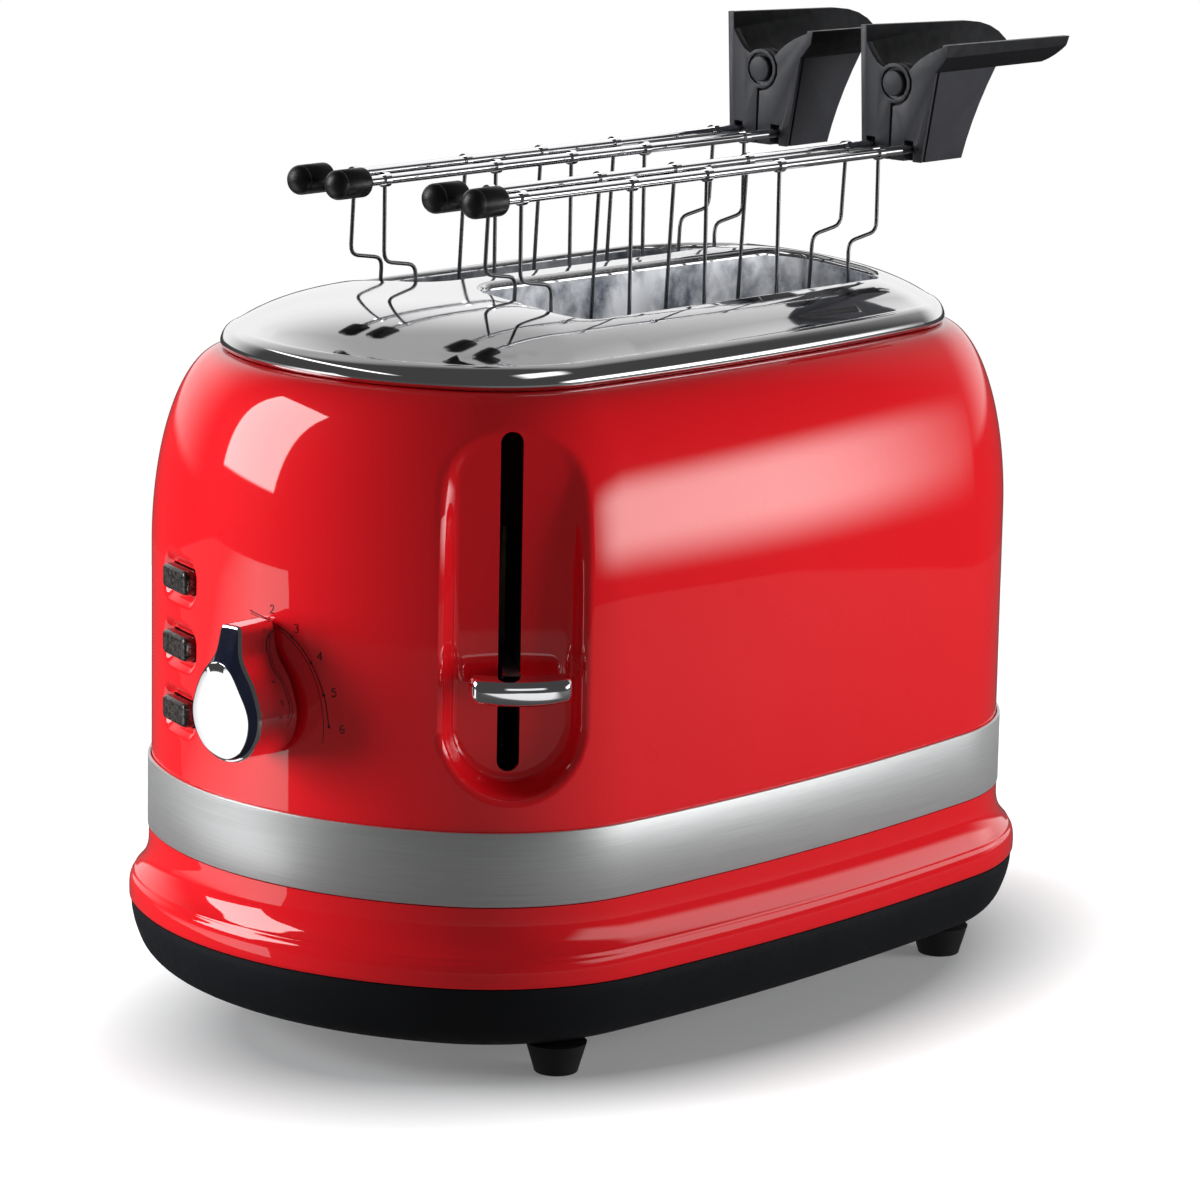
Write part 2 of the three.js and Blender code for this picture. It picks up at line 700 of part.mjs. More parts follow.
// A coil round the guide rod, pushed together while the lever is down
function makeSpring() {
  const low = floorZ + fit.seat + spring.wire;
  const high = rack.top - fit.seat - spring.wire;
  class Helix extends THREE.Curve {
    getPoint(t) {
      const angle = 2 * Math.PI * spring.turns * t;
      const x = rod.x + spring.coil * Math.cos(angle);
      const y = rodY + spring.coil * Math.sin(angle);
      return new THREE.Vector3(x, y, low + (high - low) * t);
    }
  }
  const circle = linspace(0, 2 * Math.PI, spring.sides).slice(0, -1);
  const section = new THREE.Shape(circle.map((a) =>
    new THREE.Vector2(spring.wire * Math.cos(a), spring.wire * Math.sin(a))));
  const stepCount = spring.turns * spring.stepsPerTurn;
  return new THREE.ExtrudeGeometry(section, { steps: stepCount, extrudePath: new Helix() });
}

function makeMagnet() {
  const low = floorZ + fit.seat;
  const coreTop = rack.top - rack.depth - fit.seat;
  const coil = box(
    magnet.x - magnet.half, magnet.x + magnet.half,
    magnetY - magnet.deep / 2, magnetY + magnet.deep / 2, low, coreTop - magnet.coreRise);
  const core = toSolid(cylinderAt(magnet.core,
    new THREE.Vector3(magnet.x, magnetY, low),
    new THREE.Vector3(magnet.x, magnetY, coreTop)));
  return coil.add(core);
}

// Controls

function buttonInnerEnd() {
  return new THREE.Vector3(0, 0, -button.body).applyMatrix4(wallFrame(button.angle, 0));
}

// The board reaches from behind the buttons to beyond the knob
function boardEdges() {
  const left = buttonInnerEnd().x - board.leftMargin;
  const right = knob.x + board.rightMargin;
  const highest = buttonHeight(button.count - 1);
  return [left, right, button.first - board.below, highest + board.above];
}

// The board with a push switch standing behind each button
function makeControlBoard() {
  const [left, right, bottom, top] = boardEdges();
  const plateSolid = box(left, right, boardY, boardY + board.thickness, bottom, top);
  const inner = buttonInnerEnd();
  const half = board.switchHalf;
  const front = boardY - board.switchReach;
  const middle = boardY + board.thickness / 2;
  const switches = [];
  for (let i = 0; i < button.count; i += 1) {
    const z = buttonHeight(i);
    switches.push(box(inner.x - half, inner.x + half, front, middle, z - half, z + half));
  }
  return union([plateSolid, ...switches]);
}

function makeBracket() {
  const low = floorZ + fit.seat;
  const [boardLeft, boardRight, boardBottom, boardTop] = boardEdges();
  const left = boardLeft - fit.seat;
  const right = boardRight + fit.seat;
  const y0 = boardY + board.thickness / 2 - bracket.depth / 2;
  const y1 = y0 + bracket.depth;
  const u = bracket.upright;
  return union([
    box(left - u, right + u, y0, y1, low, low + bracket.strip),
    box(left - u, left, y0, y1, low, boardTop),
    box(right, right + u, y0, y1, low, boardTop),
    box(left - u, right + u, y0, y1, boardBottom - fit.seat - bracket.shelf, boardBottom - fit.seat),
  ]);
}

function makePotentiometer() {
  return cylinderAt(board.potRadius,
    new THREE.Vector3(knob.x, boardY - fit.seat - board.potDepth, knob.z),
    new THREE.Vector3(knob.x, boardY - fit.seat, knob.z), steps.fine);
}

const knobRearY = -plan.halfLength + shell.inset - knob.lift;
const knobFrontY = knobRearY - knob.deep;

function makeShaft() {
  return cylinderAt(shaft.radius,
    new THREE.Vector3(knob.x, boardY - board.potDepth - 2 * fit.seat, knob.z),
    new THREE.Vector3(knob.x, knobRearY - shaft.inKnob, knob.z));
}

// A drop: a round body and a small round tip joined by their common tangents
function dropShape(inset) {
  const big = knob.radius - inset;
  const small = knob.tipRadius - inset / 2;
  const gap = knob.tip - knob.tipRadius;
  const lean = Math.asin((big - small) / gap);
  const points = [];
  linspace(Math.PI - lean, 2 * Math.PI + lean, steps.fine).forEach((a) => {
    points.push([big * Math.cos(a), big * Math.sin(a)]);
  });
  linspace(lean, Math.PI - lean, steps.small).forEach((a) => {
    points.push([small * Math.cos(a), gap + small * Math.sin(a)]);
  });
  return points;
}

function makeKnob() {
  const place = (y) => ([x, z]) => new THREE.Vector3(knob.x + x, y, knob.z + z);
  const level = (inset, y) => dropShape(inset).map(place(y));
  const body = toSolid(loft([
    level(0, knobRearY),
    level(0, knobFrontY + knob.bevel),
    level(knob.bevel, knobFrontY),
  ]));
  const bore = toSolid(cylinderAt(boreRadius(shaft.radius, fit.seat),
    new THREE.Vector3(knob.x, knobRearY + fit.overrun, knob.z),
    new THREE.Vector3(knob.x, knobRearY - shaft.inKnob - fit.seat, knob.z)));
  return body.subtract(bore);
}

function makeButton(i) {
  const z = buttonHeight(i);
  const back = -shell.wall - buttonFlange.setBack;
  const body = buttonBlock(0, -button.body, button.proud, z);
  const flange = buttonBlock(buttonFlange.margin, back - buttonFlange.thickness, back, z);
  return body.add(flange);
}

// Lever and carriage

function makeLeverKnob() {
  const half = lever.width / 2;
  const end = lever.tall / 2;
  const rear = lever.front - lever.deep;
  const points = [];
  linspace(-1, 1, steps.small).forEach((t) => {
    points.push([half * t, lever.front - lever.bow * t * t]);
  });
  linspace(1, -1, steps.side).forEach((t) => points.push([half * t * leverRearShare, rear]));
  const shape = polygon(points.map(([x, z]) => [x, -z]));
  const geometry = new THREE.ExtrudeGeometry(shape, {
    depth: lever.tall - end,
    steps: 1,
    bevelEnabled: true,
    bevelThickness: end / 2,
    bevelSize: end / 3,
    bevelOffset: -end / 3,
    bevelSegments: steps.side,
  });
  geometry.rotateX(-Math.PI / 2).translate(0, -(lever.tall - end) / 2, 0);
  const body = toSolid(geometry.applyMatrix4(wallFrame(recess.angle, lever.height)));
  return body.subtract(armBar(fit.seat));
}

// A level bar between two points of one height
function levelBar(from, to, wide, tall) {
  const along = new THREE.Vector3().subVectors(to, from);
  const middle = new THREE.Vector3().addVectors(from, to).multiplyScalar(0.5);
  const geometry = new THREE.BoxGeometry(along.length() + wide, wide, tall);
  geometry.rotateZ(Math.atan2(along.y, along.x)).translate(middle.x, middle.y, middle.z);
  return toSolid(geometry);
}

// The arm runs in through the slot, then turns towards the slider
function armBar(grow) {
  const frame = wallFrame(recess.angle, lever.height);
  const tip = new THREE.Vector3(0, 0, lever.front - lever.deep + lever.socket).applyMatrix4(frame);
  const elbow = new THREE.Vector3(0, 0, -arm.reach).applyMatrix4(frame);
  return levelBar(tip, elbow, slider.armWide + 2 * grow, slider.armTall + 2 * grow);
}

function makeSlider() {
  const low = rack.top - rack.depth;
  const rear = chassisFront - rack.blade;
  const front = rear - slider.bridgeDeep;
  const armTop = lever.height + slider.armTall / 2;
  const half = slider.bridgeHalf;
  const bridge = box(-half, half, front, rear, low, low + slider.bridgeTall);
  const web = box(rod.x - slider.webHalf, half, front, rear, low, armTop);
  const bushLow = rack.top;
  const bushHigh = bushLow + slider.bushTall;
  const bush = toSolid(cylinderAt(slider.bush,
    new THREE.Vector3(rod.x, rodY, bushLow),
    new THREE.Vector3(rod.x, rodY, bushHigh)));
  const neckHalf = slider.bush / 2;
  const neck = box(rod.x - neckHalf, rod.x + neckHalf, rodY, rear, bushLow, bushHigh);
  const bore = toSolid(cylinderAt(boreRadius(rod.radius, fit.running),
    new THREE.Vector3(rod.x, rodY, low - fit.overrun),
    new THREE.Vector3(rod.x, rodY, armTop + fit.overrun)));
  const armature = box(
    magnet.x - arm.armatureHalf, magnet.x + arm.armatureHalf,
    magnetY - arm.armatureHalf, rear, low, low + arm.armature);
  const frame = wallFrame(recess.angle, lever.height);
  const elbow = new THREE.Vector3(0, 0, -arm.reach).applyMatrix4(frame);
  const root = new THREE.Vector3(half - slider.armWide, (front + rear) / 2, lever.height);
  const link = levelBar(elbow, root, slider.armWide, slider.armTall);
  return union([bridge, web, bush, neck, armBar(0), link, armature]).subtract(bore);
}

function makeRack(s) {
  const x = s * slot.centre;
  const half = rack.blade / 2;
  const y0 = chassisFront - rack.blade + fit.seat;
  const y1 = slot.centreY + slotHalfLength - rack.rearInset;
  const blade = box(x - half, x + half, y0, y1, rack.top - rack.depth, rack.top);
  const firstBar = insideY + rack.endInset;
  const bars = linspace(firstBar, y1 - rack.bar, rack.bars - 1).map((y) =>
    box(x - rack.barHalf, x + rack.barHalf, y, y + rack.bar, rack.top - rack.barDepth, rack.top));
  return union([blade, ...bars]);
}

// Crumb tray, drawn out at the rear
function makeTray() {
  const low = floorZ + fit.seat;
  const w = tray.halfWidth;
  const trayFront = chassisFront + tray.frontGap;
  const pan = box(-w, w, trayFront, trayRear, low, low + tray.sheet + tray.wall);
  const hollow = box(
    tray.sheet - w, w - tray.sheet,
    trayFront + tray.sheet, trayRear - tray.sheet,
    low + tray.sheet, low + tray.wall + fit.overrun + tray.sheet);
  const end = trayRear + tray.pullReach;
  const half = tray.pullHalf;
  const pull = box(-half, half, trayRear - tray.sheet, end, low, low + tray.sheet);
  const lip = box(-half, half, end - tray.sheet, end, low - tray.lipDrop, low + tray.wall);
  return union([pan.subtract(hollow), pull, lip]);
}

function makeGland() {
  const wallY = plan.halfLength - shell.inset;
  const outside = wallY + gland.proud;
  const grip = gland.outer + gland.flange;
  const geometry = turned([
    [gland.bore, -gland.grip],
    [gland.outer, -gland.grip],
    [gland.outer, fit.seat],
    [grip, fit.seat],
    [gland.outer, gland.proud],
    [gland.bore, gland.proud],
    [gland.bore, -gland.grip],
  ], steps.fine);
  return geometry.rotateX(-Math.PI / 2).translate(0, outside - gland.proud, gland.z);
}

// Sandwich cages

const wireEnd = slotHalfLength + wireRun.overhang;
const tipEnd = slot.centreY - wireEnd - tip.beyond;
const gripFront = slot.centreY + wireEnd + grip.beyond;
const railEndY = gripFront + grip.socket - grip.face;

// A round wire along a path that lies in one plane, x being the plane's normal
function wire(points, radius, sides = steps.wire) {
  const across = new THREE.Vector3(1, 0, 0);
  const ringsAlong = points.map((p, i) => {
    const before = points[Math.max(i - 1, 0)];
    const after = points[Math.min(i + 1, points.length - 1)];
    const tangent = after.clone().sub(before).normalize();
    const normal = tangent.clone().cross(across).normalize();
    return linspace(0, 2 * Math.PI, sides).slice(0, -1).map((a) => p.clone()
      .addScaledVector(across, radius * Math.cos(a))
      .addScaledVector(normal, radius * Math.sin(a)));
  });
  return toSolid(loft(ringsAlong));
}

// Corner points replaced by three points of a small bend
function roundedPath(corners, bend) {
  const points = [corners[0]];
  for (let i = 1; i < corners.length - 1; i += 1) {
    const corner = corners[i];
    const back = corners[i - 1].clone().sub(corner).normalize();
    const on = corners[i + 1].clone().sub(corner).normalize();
    const start = corner.clone().addScaledVector(back, bend);
    const end = corner.clone().addScaledVector(on, bend);
    const middle = start.clone().add(end).multiplyScalar(0.25).addScaledVector(corner, 0.5);
    points.push(start, middle, end);
  }
  points.push(corners[corners.length - 1]);
  return points;
}

// One side of a cage: a rail with a looped wire and three cross wires under it
function makeFrame(x, tilt) {
  const yc = slot.centreY;
  const at = (y, z) => new THREE.Vector3(0, y, z);
  const low = rack.top + fit.seat + cage.wire - cage.rail;
  const out = wireEnd;
  const inner = out - wireRun.jogIn;
  const jog = wireRun.dropTo - cage.rail;
  const loop = wire(roundedPath([
    at(yc - out, 0),
    at(yc - out, jog),
    at(yc - inner, jog - wireRun.jogFall),
    at(yc - inner, low),
    at(yc + inner, low),
    at(yc + inner, jog - wireRun.jogFall),
    at(yc + out, jog),
    at(yc + out, 0),
  ], wireRun.bend), cage.wire);
  const rail = toSolid(cylinderAt(cage.railRadius,
    at(tipEnd + tip.dome + fit.seat, 0), at(railEndY, 0), steps.rail));
  const pieces = [rail, loop];
  for (let i = -1; i <= 1; i += 1) {
    const y = yc + i * cage.pitch;
    pieces.push(toSolid(cylinderAt(cage.wire, at(y, low), at(y, 0), steps.wire)));
  }
  [-out, -cage.pitch, 0, cage.pitch, out].forEach((dy) => {
    const from = at(yc + dy - wireRun.clipLength / 2, 0);
    const to = at(yc + dy + wireRun.clipLength / 2, 0);
    pieces.push(toSolid(cylinderAt(cage.railRadius + cage.wire, from, to, steps.small)));
  });
  const turn = new THREE.Matrix4().makeRotationY(THREE.MathUtils.degToRad(tilt));
  turn.setPosition(x, 0, cage.rail);
  return toGeometry(union(pieces)).applyMatrix4(turn);
}

function makeTip(x) {
  const r = tip.radius;
  const bore = boreRadius(cage.railRadius, fit.seat);
  const long = tip.length;
  const geometry = turned([
    [0, 0],
    [r * tipShares.dome[0], tip.dome * tipShares.dome[1]],
    [r, tip.dome],
    [r, long - tip.shoulder],
    [r * tipShares.rear, long],
    [bore, long],
    [bore, tip.dome],
    [0, tip.dome],
  ]);
  return geometry.rotateX(-Math.PI / 2).translate(x, tipEnd, cage.rail);
}

// Grip halves are drawn about the cage's centre line, with z from the rails

function wingWall(half) {
  const foot = [side.footReach, -grip.footDrop];
  return [[0, -grip.footDrop], ...bend(foot, [side.wallReach, half.armLow], wallShares)];
}

function leftWing() {
  const half = gripLeft;
  return polygon([
    ...wingWall(half),
    ...bend([half.armEnd, half.armLow], [half.armStart, half.armTop], leftArmShares),
    [0, half.topRise],
  ]);
}

// The right arm runs back from the wing and ends in an upturned tip
function rightArm() {
  const half = gripRight;
  return [
    ...bend([half.armStart, half.armLow], [half.armEnd, half.armTop], rightArmShares),
    [0, half.topRise],
  ];
}

function wingLean(half) {
  return (half.top - half.foot) / (half.topRise + grip.footDrop);
}

// Lean the wing so that it spreads towards its top
function leanOut(solid, half, s) {
  const lean = s * wingLean(half);
  const shear = new THREE.Matrix4().makeShear(0, 0, 0, 0, lean, 0);
  return toSolid(toGeometry(solid).applyMatrix4(shear).translate(lean * grip.footDrop, 0, 0));
}

function makeLeftWing() {
  const outer = -gripLeft.foot;
  return leanOut(plateYZ(leftWing(), outer, outer + grip.wall), gripLeft, -1);
}

// The right wing carries a lip along its arm, slanted underneath
function makeRightWing() {
  const half = gripRight;
  const outer = half.foot;
  const edge = outer + half.lip;
  const wall = plateYZ(polygon([...wingWall(half), ...rightArm()]), outer - grip.wall, outer);
  const lip = plateYZ(polygon([[0, half.armLow], ...rightArm()]), outer - grip.wall, edge);
  const slant = plateXZ(polygon([
    [outer, half.armLow],
    [outer, half.armLow - fit.overrun],
    [edge + fit.overrun, half.armLow - fit.overrun],
    [edge + fit.overrun, half.lipRise],
    [edge, half.lipRise],
  ]), -fit.overrun, half.armEnd + fit.overrun);
  const inner = outer - grip.wall;
  const trough = plateXZ(polygon([
    [inner, half.armLow],
    [edge - grip.wall, half.lipRise],
    [edge - grip.wall, half.topRise + fit.overrun],
    [inner - fit.overrun, half.topRise + fit.overrun],
    [inner - fit.overrun, half.armLow],
  ]), -fit.overrun, half.armEnd + fit.overrun);
  return leanOut(wall.add(lip.subtract(slant)).subtract(trough), half, 1);
}

// A groove down the outer edge of the right face
function creaseCut() {
  const half = gripRight;
  const groove = plateXZ(polygon([
    [half.foot - grip.crease, -grip.footDrop - fit.overrun],
    [half.foot + fit.overrun, -grip.footDrop - fit.overrun],
    [half.foot + fit.overrun, half.armLow],
    [half.foot - grip.crease, half.armLow],
  ]), grip.creaseAt, grip.creaseAt + grip.creaseWide);
  return leanOut(groove, half, 1);
}

function socketBlock(s) {
  const x = s * cage.halfGap;
  const w = cage.railRadius + fit.seat + grip.socketWall;
  return box(x - w, x + w, 0, grip.socket, -grip.footDrop, w);
}

// The face is cut away beside each rail, down to its lower edge
function railCut(s) {
  const x = cage.halfGap - cage.railRadius - fit.seat;
  const ends = [s * x, s * (x + railNotch.reach)];
  const low = -grip.footDrop - fit.overrun;
  return box(Math.min(...ends), Math.max(...ends), -fit.overrun, grip.face, low, railNotch.rise);
}

function railBore(s) {
  const x = s * cage.halfGap;
  return toSolid(cylinderAt(boreRadius(cage.railRadius, fit.seat, steps.rail),
    new THREE.Vector3(x, -fit.overrun, 0),
    new THREE.Vector3(x, grip.socket - grip.face + fit.seat, 0), steps.rail));
}

function pivotCylinder(radius, y0, y1, sides = steps.fine) {
  return toSolid(cylinderAt(radius,
    new THREE.Vector3(grip.pivotShift, y0, grip.pivotRise),
    new THREE.Vector3(grip.pivotShift, y1, grip.pivotRise), sides));
}

function makeLeftGrip() {
  const half = gripLeft;
  const boss = linspace(...bossArcShares.map((share) => share * Math.PI), steps.round).map((a) => [
    grip.pivotShift + grip.boss * Math.cos(a),
    grip.pivotRise + grip.boss * Math.sin(a),
  ]);
  const face = plateXZ(polygon([
    [-half.foot, -grip.footDrop],
    [-grip.slit, -grip.footDrop],
    ...boss,
    ...bend([-half.notch, half.notchRise], [-half.top, half.topRise], leftFaceShares),
  ]), 0, grip.face);
  const whole = union([face, makeLeftWing(), socketBlock(-1)]);
  const bore = pivotCylinder(boreRadius(grip.pin, fit.running), -fit.overrun, grip.face + fit.overrun);
  const well = pivotCylinder(grip.head + grip.well, -fit.overrun, grip.wellDepth);
  return whole.subtract(railBore(-1)).subtract(railCut(-1)).subtract(bore.add(well));
}

function makeRightGrip() {
  const half = gripRight;
  const outerAt = (rise) => half.foot + wingLean(half) * (rise + grip.footDrop);
  const corner = [half.top + half.lip, half.topRise];
  const outline = polygon([
    [grip.slit, -grip.footDrop],
    [half.foot, -grip.footDrop],
    [outerAt(half.armLow), half.armLow],
    [outerAt(half.lipRise) + half.lip, half.lipRise],
    ...bend([half.notch, half.notchRise], corner, rightFaceShares).reverse(),
    [grip.slitTop, half.notchRise],
  ]);
  const bossHole = pivotCylinder(grip.boss + grip.bossGap, -fit.overrun, grip.face + fit.overrun);
  const face = plateXZ(outline, 0, grip.face).subtract(bossHole);
  const y0 = grip.face + fit.running;
  const y1 = y0 + grip.lug;
  const disc = pivotCylinder(grip.boss, y0, y1);
  const strapLow = grip.pivotRise - grip.boss / 2;
  const strapEnd = outerAt(strapLow) - grip.wall / 2;
  const strap = box(grip.pivotShift, strapEnd, y0, y1, strapLow, strapLow + grip.boss);
  const whole = union([face, makeRightWing(), socketBlock(1), disc, strap]);
  const bore = pivotCylinder(boreRadius(grip.pin, fit.running), y0 - fit.overrun, y1 + fit.overrun);
  return whole.subtract(railBore(1)).subtract(railCut(1)).subtract(creaseCut()).subtract(bore);
}

function makePivotPin() {
  const rear = grip.face + grip.lug + 2 * fit.running;
  const head = pivotCylinder(grip.head, -grip.headProud, grip.wellDepth - fit.seat);
  return head.add(pivotCylinder(grip.pin, -grip.headProud, rear, steps.round));
}

function addCage(name, s) {
  const x = s * slot.centre;
  const place = (solid) => toGeometry(solid).translate(x, gripFront, cage.rail);
  add(`${name}_grip_left`, place(makeLeftGrip()), material.grip);
  add(`${name}_grip_right`, place(makeRightGrip()), material.grip);
  add(`${name}_pivot_pin`, place(makePivotPin()), material.grip);
  add(`${name}_frame_left`, makeFrame(x - cage.halfGap, cage.tiltAngle), material.chrome);
  add(`${name}_frame_right`, makeFrame(x + cage.halfGap, 0), material.chrome);
  add(`${name}_tip_left`, makeTip(x - cage.halfGap), material.rubber);
  add(`${name}_tip_right`, makeTip(x + cage.halfGap), material.rubber);
}

// Assembly

function addBody() {
  add('base_tray', makeBase(), material.black);
  const corners = {
    front_left: [-1, -1], front_right: [1, -1],
    rear_left: [-1, 1], rear_right: [1, 1],
  };
  Object.entries(corners).forEach(([name, [sx, sy]]) => {
    const x = sx * (plan.halfWidth - foot.insetX);
    const y = sy * (plan.halfLength - foot.insetY);
    add(`foot_${name}`, makeFoot(x, y), material.rubber);
  });
  add('lower_skirt', makeSkirt(), material.red);
  add('steel_band', makeBand(), material.steel);
  add('body_shell', makeShell(), material.red);
  add('top_plate', makeTopPlate(), material.chrome);
  add('slot_liner_left', makeLiner(-1), material.chrome);
  add('slot_liner_right', makeLiner(1), material.chrome);
  add('cord_gland', makeGland(), material.black);
}

function addInside() {
  add('front_chassis', makeFrontChassis(), material.zinc);
  add('rear_chassis', makeRearChassis(), material.zinc);
  const sideX = slot.centre + heater.offset;
  add('heater_board_left', makeHeaterBoard(-sideX), material.mica);
  add('heater_board_center', makeHeaterBoard(0), material.mica);
  add('heater_board_right', makeHeaterBoard(sideX), material.mica);
  add('bread_guide_left_outer', makeGuide(-slot.centre - guide.offset), material.zinc);
  add('bread_guide_left_inner', makeGuide(-slot.centre + guide.offset), material.zinc);
  add('bread_guide_right_inner', makeGuide(slot.centre - guide.offset), material.zinc);
  add('bread_guide_right_outer', makeGuide(slot.centre + guide.offset), material.zinc);
  add('guide_rod', makeRod(), material.chrome);
  add('return_spring', makeSpring(), material.zinc);
  add('electromagnet', makeMagnet(), material.zinc);
  add('board_bracket', makeBracket(), material.black);
  add('control_board', makeControlBoard(), material.circuit);
  add('dial_potentiometer', makePotentiometer(), material.black);
}

function addMovingParts() {
  add('carriage_slider', makeSlider(), material.zinc);
  add('bread_rack_left', makeRack(-1), material.zinc);
  add('bread_rack_right', makeRack(1), material.zinc);
  add('lever_knob', makeLeverKnob(), material.chrome);
  add('browning_knob', makeKnob(), material.chrome);
  add('knob_shaft', makeShaft(), material.zinc);
  const names = ['low', 'middle', 'high'];
  names.slice(0, button.count).forEach((name, i) => {
    add(`button_${name}`, makeButton(i), material.smoke);
  });
  add('crumb_tray', makeTray(), material.zinc);
  addCage('cage_left', -1);
  addCage('cage_right', 1);
}

// The origin is on the floor under the middle of the whole assembly
function settle() {
  const bounds = new THREE.Box3().setFromObject(toaster);
  const centre = bounds.getCenter(new THREE.Vector3());
  toaster.position.set(-centre.x, -centre.y, -bounds.min.z);
}

addBody();
addInside();
addMovingParts();
settle();

export default toaster;
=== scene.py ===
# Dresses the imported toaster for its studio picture. The object's sizes are in millimetres, and turned to
# metres on the way in. The studio's are in metres.
import json
import math
from contextlib import contextmanager

import bpy
import bmesh
import numpy as np
from mathutils import Matrix, Vector
from mathutils.geometry import delaunay_2d_cdt


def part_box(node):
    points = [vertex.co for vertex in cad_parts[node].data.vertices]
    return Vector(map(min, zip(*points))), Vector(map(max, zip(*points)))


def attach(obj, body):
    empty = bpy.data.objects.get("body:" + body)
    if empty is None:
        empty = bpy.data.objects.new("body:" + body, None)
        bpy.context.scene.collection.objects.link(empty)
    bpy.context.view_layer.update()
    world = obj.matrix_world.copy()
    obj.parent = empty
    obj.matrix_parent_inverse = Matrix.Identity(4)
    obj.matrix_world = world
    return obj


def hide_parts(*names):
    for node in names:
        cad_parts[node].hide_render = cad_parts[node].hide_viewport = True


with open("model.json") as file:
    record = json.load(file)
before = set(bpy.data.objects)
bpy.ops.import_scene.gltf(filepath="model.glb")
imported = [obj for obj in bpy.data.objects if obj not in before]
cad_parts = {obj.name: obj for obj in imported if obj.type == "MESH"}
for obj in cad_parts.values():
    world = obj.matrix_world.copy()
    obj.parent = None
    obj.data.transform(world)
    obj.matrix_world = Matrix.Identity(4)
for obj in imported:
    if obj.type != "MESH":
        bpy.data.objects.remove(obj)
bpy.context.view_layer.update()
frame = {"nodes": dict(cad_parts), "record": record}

MM = 0.001


def span(node):
    """Lowest and highest corner of a node in millimetres."""
    low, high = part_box(node)
    return np.array(low) / MM, np.array(high) / MM


# Places that come from the frame
shell_low, shell_high = span("body_shell")
band_low, band_high = span("steel_band")
skirt_low, skirt_high = span("lower_skirt")
base_low, base_high = span("base_tray")
liner_low, liner_high = span("slot_liner_right")
PLAN_Y = (shell_low[1] + shell_high[1]) / 2

# Plan outline of the body wall, as in the part's source
HALF_WIDTH, HALF_LENGTH = 88.7, 137.6
SIDE_BULGE, END_BULGE, CORNER_RADIUS = 11.9, 46.0, 59.9
SIDE_STEPS, CORNER_STEPS, END_STEPS = 10, 22, 14

# Shell
SHELL_INSET, SHELL_WALL = 0.8, 1.2
SHOULDER_START, SHOULDER_RISE, SHOULDER_RUN = 135.0, 56.0, 20.5

# Depths between which the shell's openings are cut
SLOT_CUT, WINDOW_CUT, BORE_CUT = (-18.0, 4.0), (-6.0, 6.0), (-24.0, 4.0)

# Lever recess
RECESS_ANGLE, RECESS_DEPTH, RECESS_ASIDE = 50.0, 9.5, 0.6
FLOOR_HALF, MOUTH_HALF = 14.4, 21.7
RECESS_LOW, RECESS_HIGH = 87.0, 181.5
CUT_HALF, CUT_LOW, CUT_HIGH = 3.1, 87.6, 182.0

# Top plate
PLATE_CROWN = span("top_plate")[1][2]
RIM_DROP, RIM_EVEN, BEAD_INSET, BEAD_WIDTH, RIDGE = 13.4, 0.55, 1.1, 3.8, 40.0
SLOT_HALF_WIDTH, SLOT_HALF_LENGTH, SLOT_CORNER = 20.3, 71.6, 12.0
SLOT_X = (liner_low[0] + liner_high[0]) / 2
SLOT_Y = (liner_low[1] + liner_high[1]) / 2 - PLAN_Y
SLOT_ROLL, LINER_WALL = 2.2, 0.8

# Control end
knob_low, knob_high = span("browning_knob")
KNOB_RADIUS = 13.2
KNOB_X = (knob_low[0] + knob_high[0]) / 2
KNOB_Z = knob_low[2] + KNOB_RADIUS
KNOB_SLOPE_START, KNOB_SLOPE = 12.0, 0.14
KNOB_SIDE = [
    (12.75, 3.4), (12.0, 5.6), (11.2, 7.6), (9.9, 10.2), (8.5, 12.1), (6.8, 14.1), (5.3, 16.4), (4.6, 18.8),
    (4.2, 21.5), (3.95, 23.4), (3.3, 24.6), (1.9, 25.0), (0.0, 25.0)]
KNOB_FACE = [
    (-2.1, 14.4), (0.4, 13.6), (2.9, 11.8), (5.8, 7.6), (8.6, 3.0), (9.6, -1.0), (8.7, -5.7), (5.8, -9.7),
    (0.4, -12.0), (-6.5, -10.2), (-10.8, -5.8), (-12.4, 0.5), (-11.4, 6.5), (-7.8, 11.6), (-4.9, 14.0)]
BUTTONS = "low", "middle", "high"
BUTTON_ANGLE, BUTTON_WIDE, BUTTON_TALL, BUTTON_PROUD = -20.7, 16.4, 7.0, 1.5
BUTTON_CORNER, BUTTON_GAP = 2.0, 0.4
DIMPLE_DEPTH, DIMPLE_REACH = 2.0, 4.0

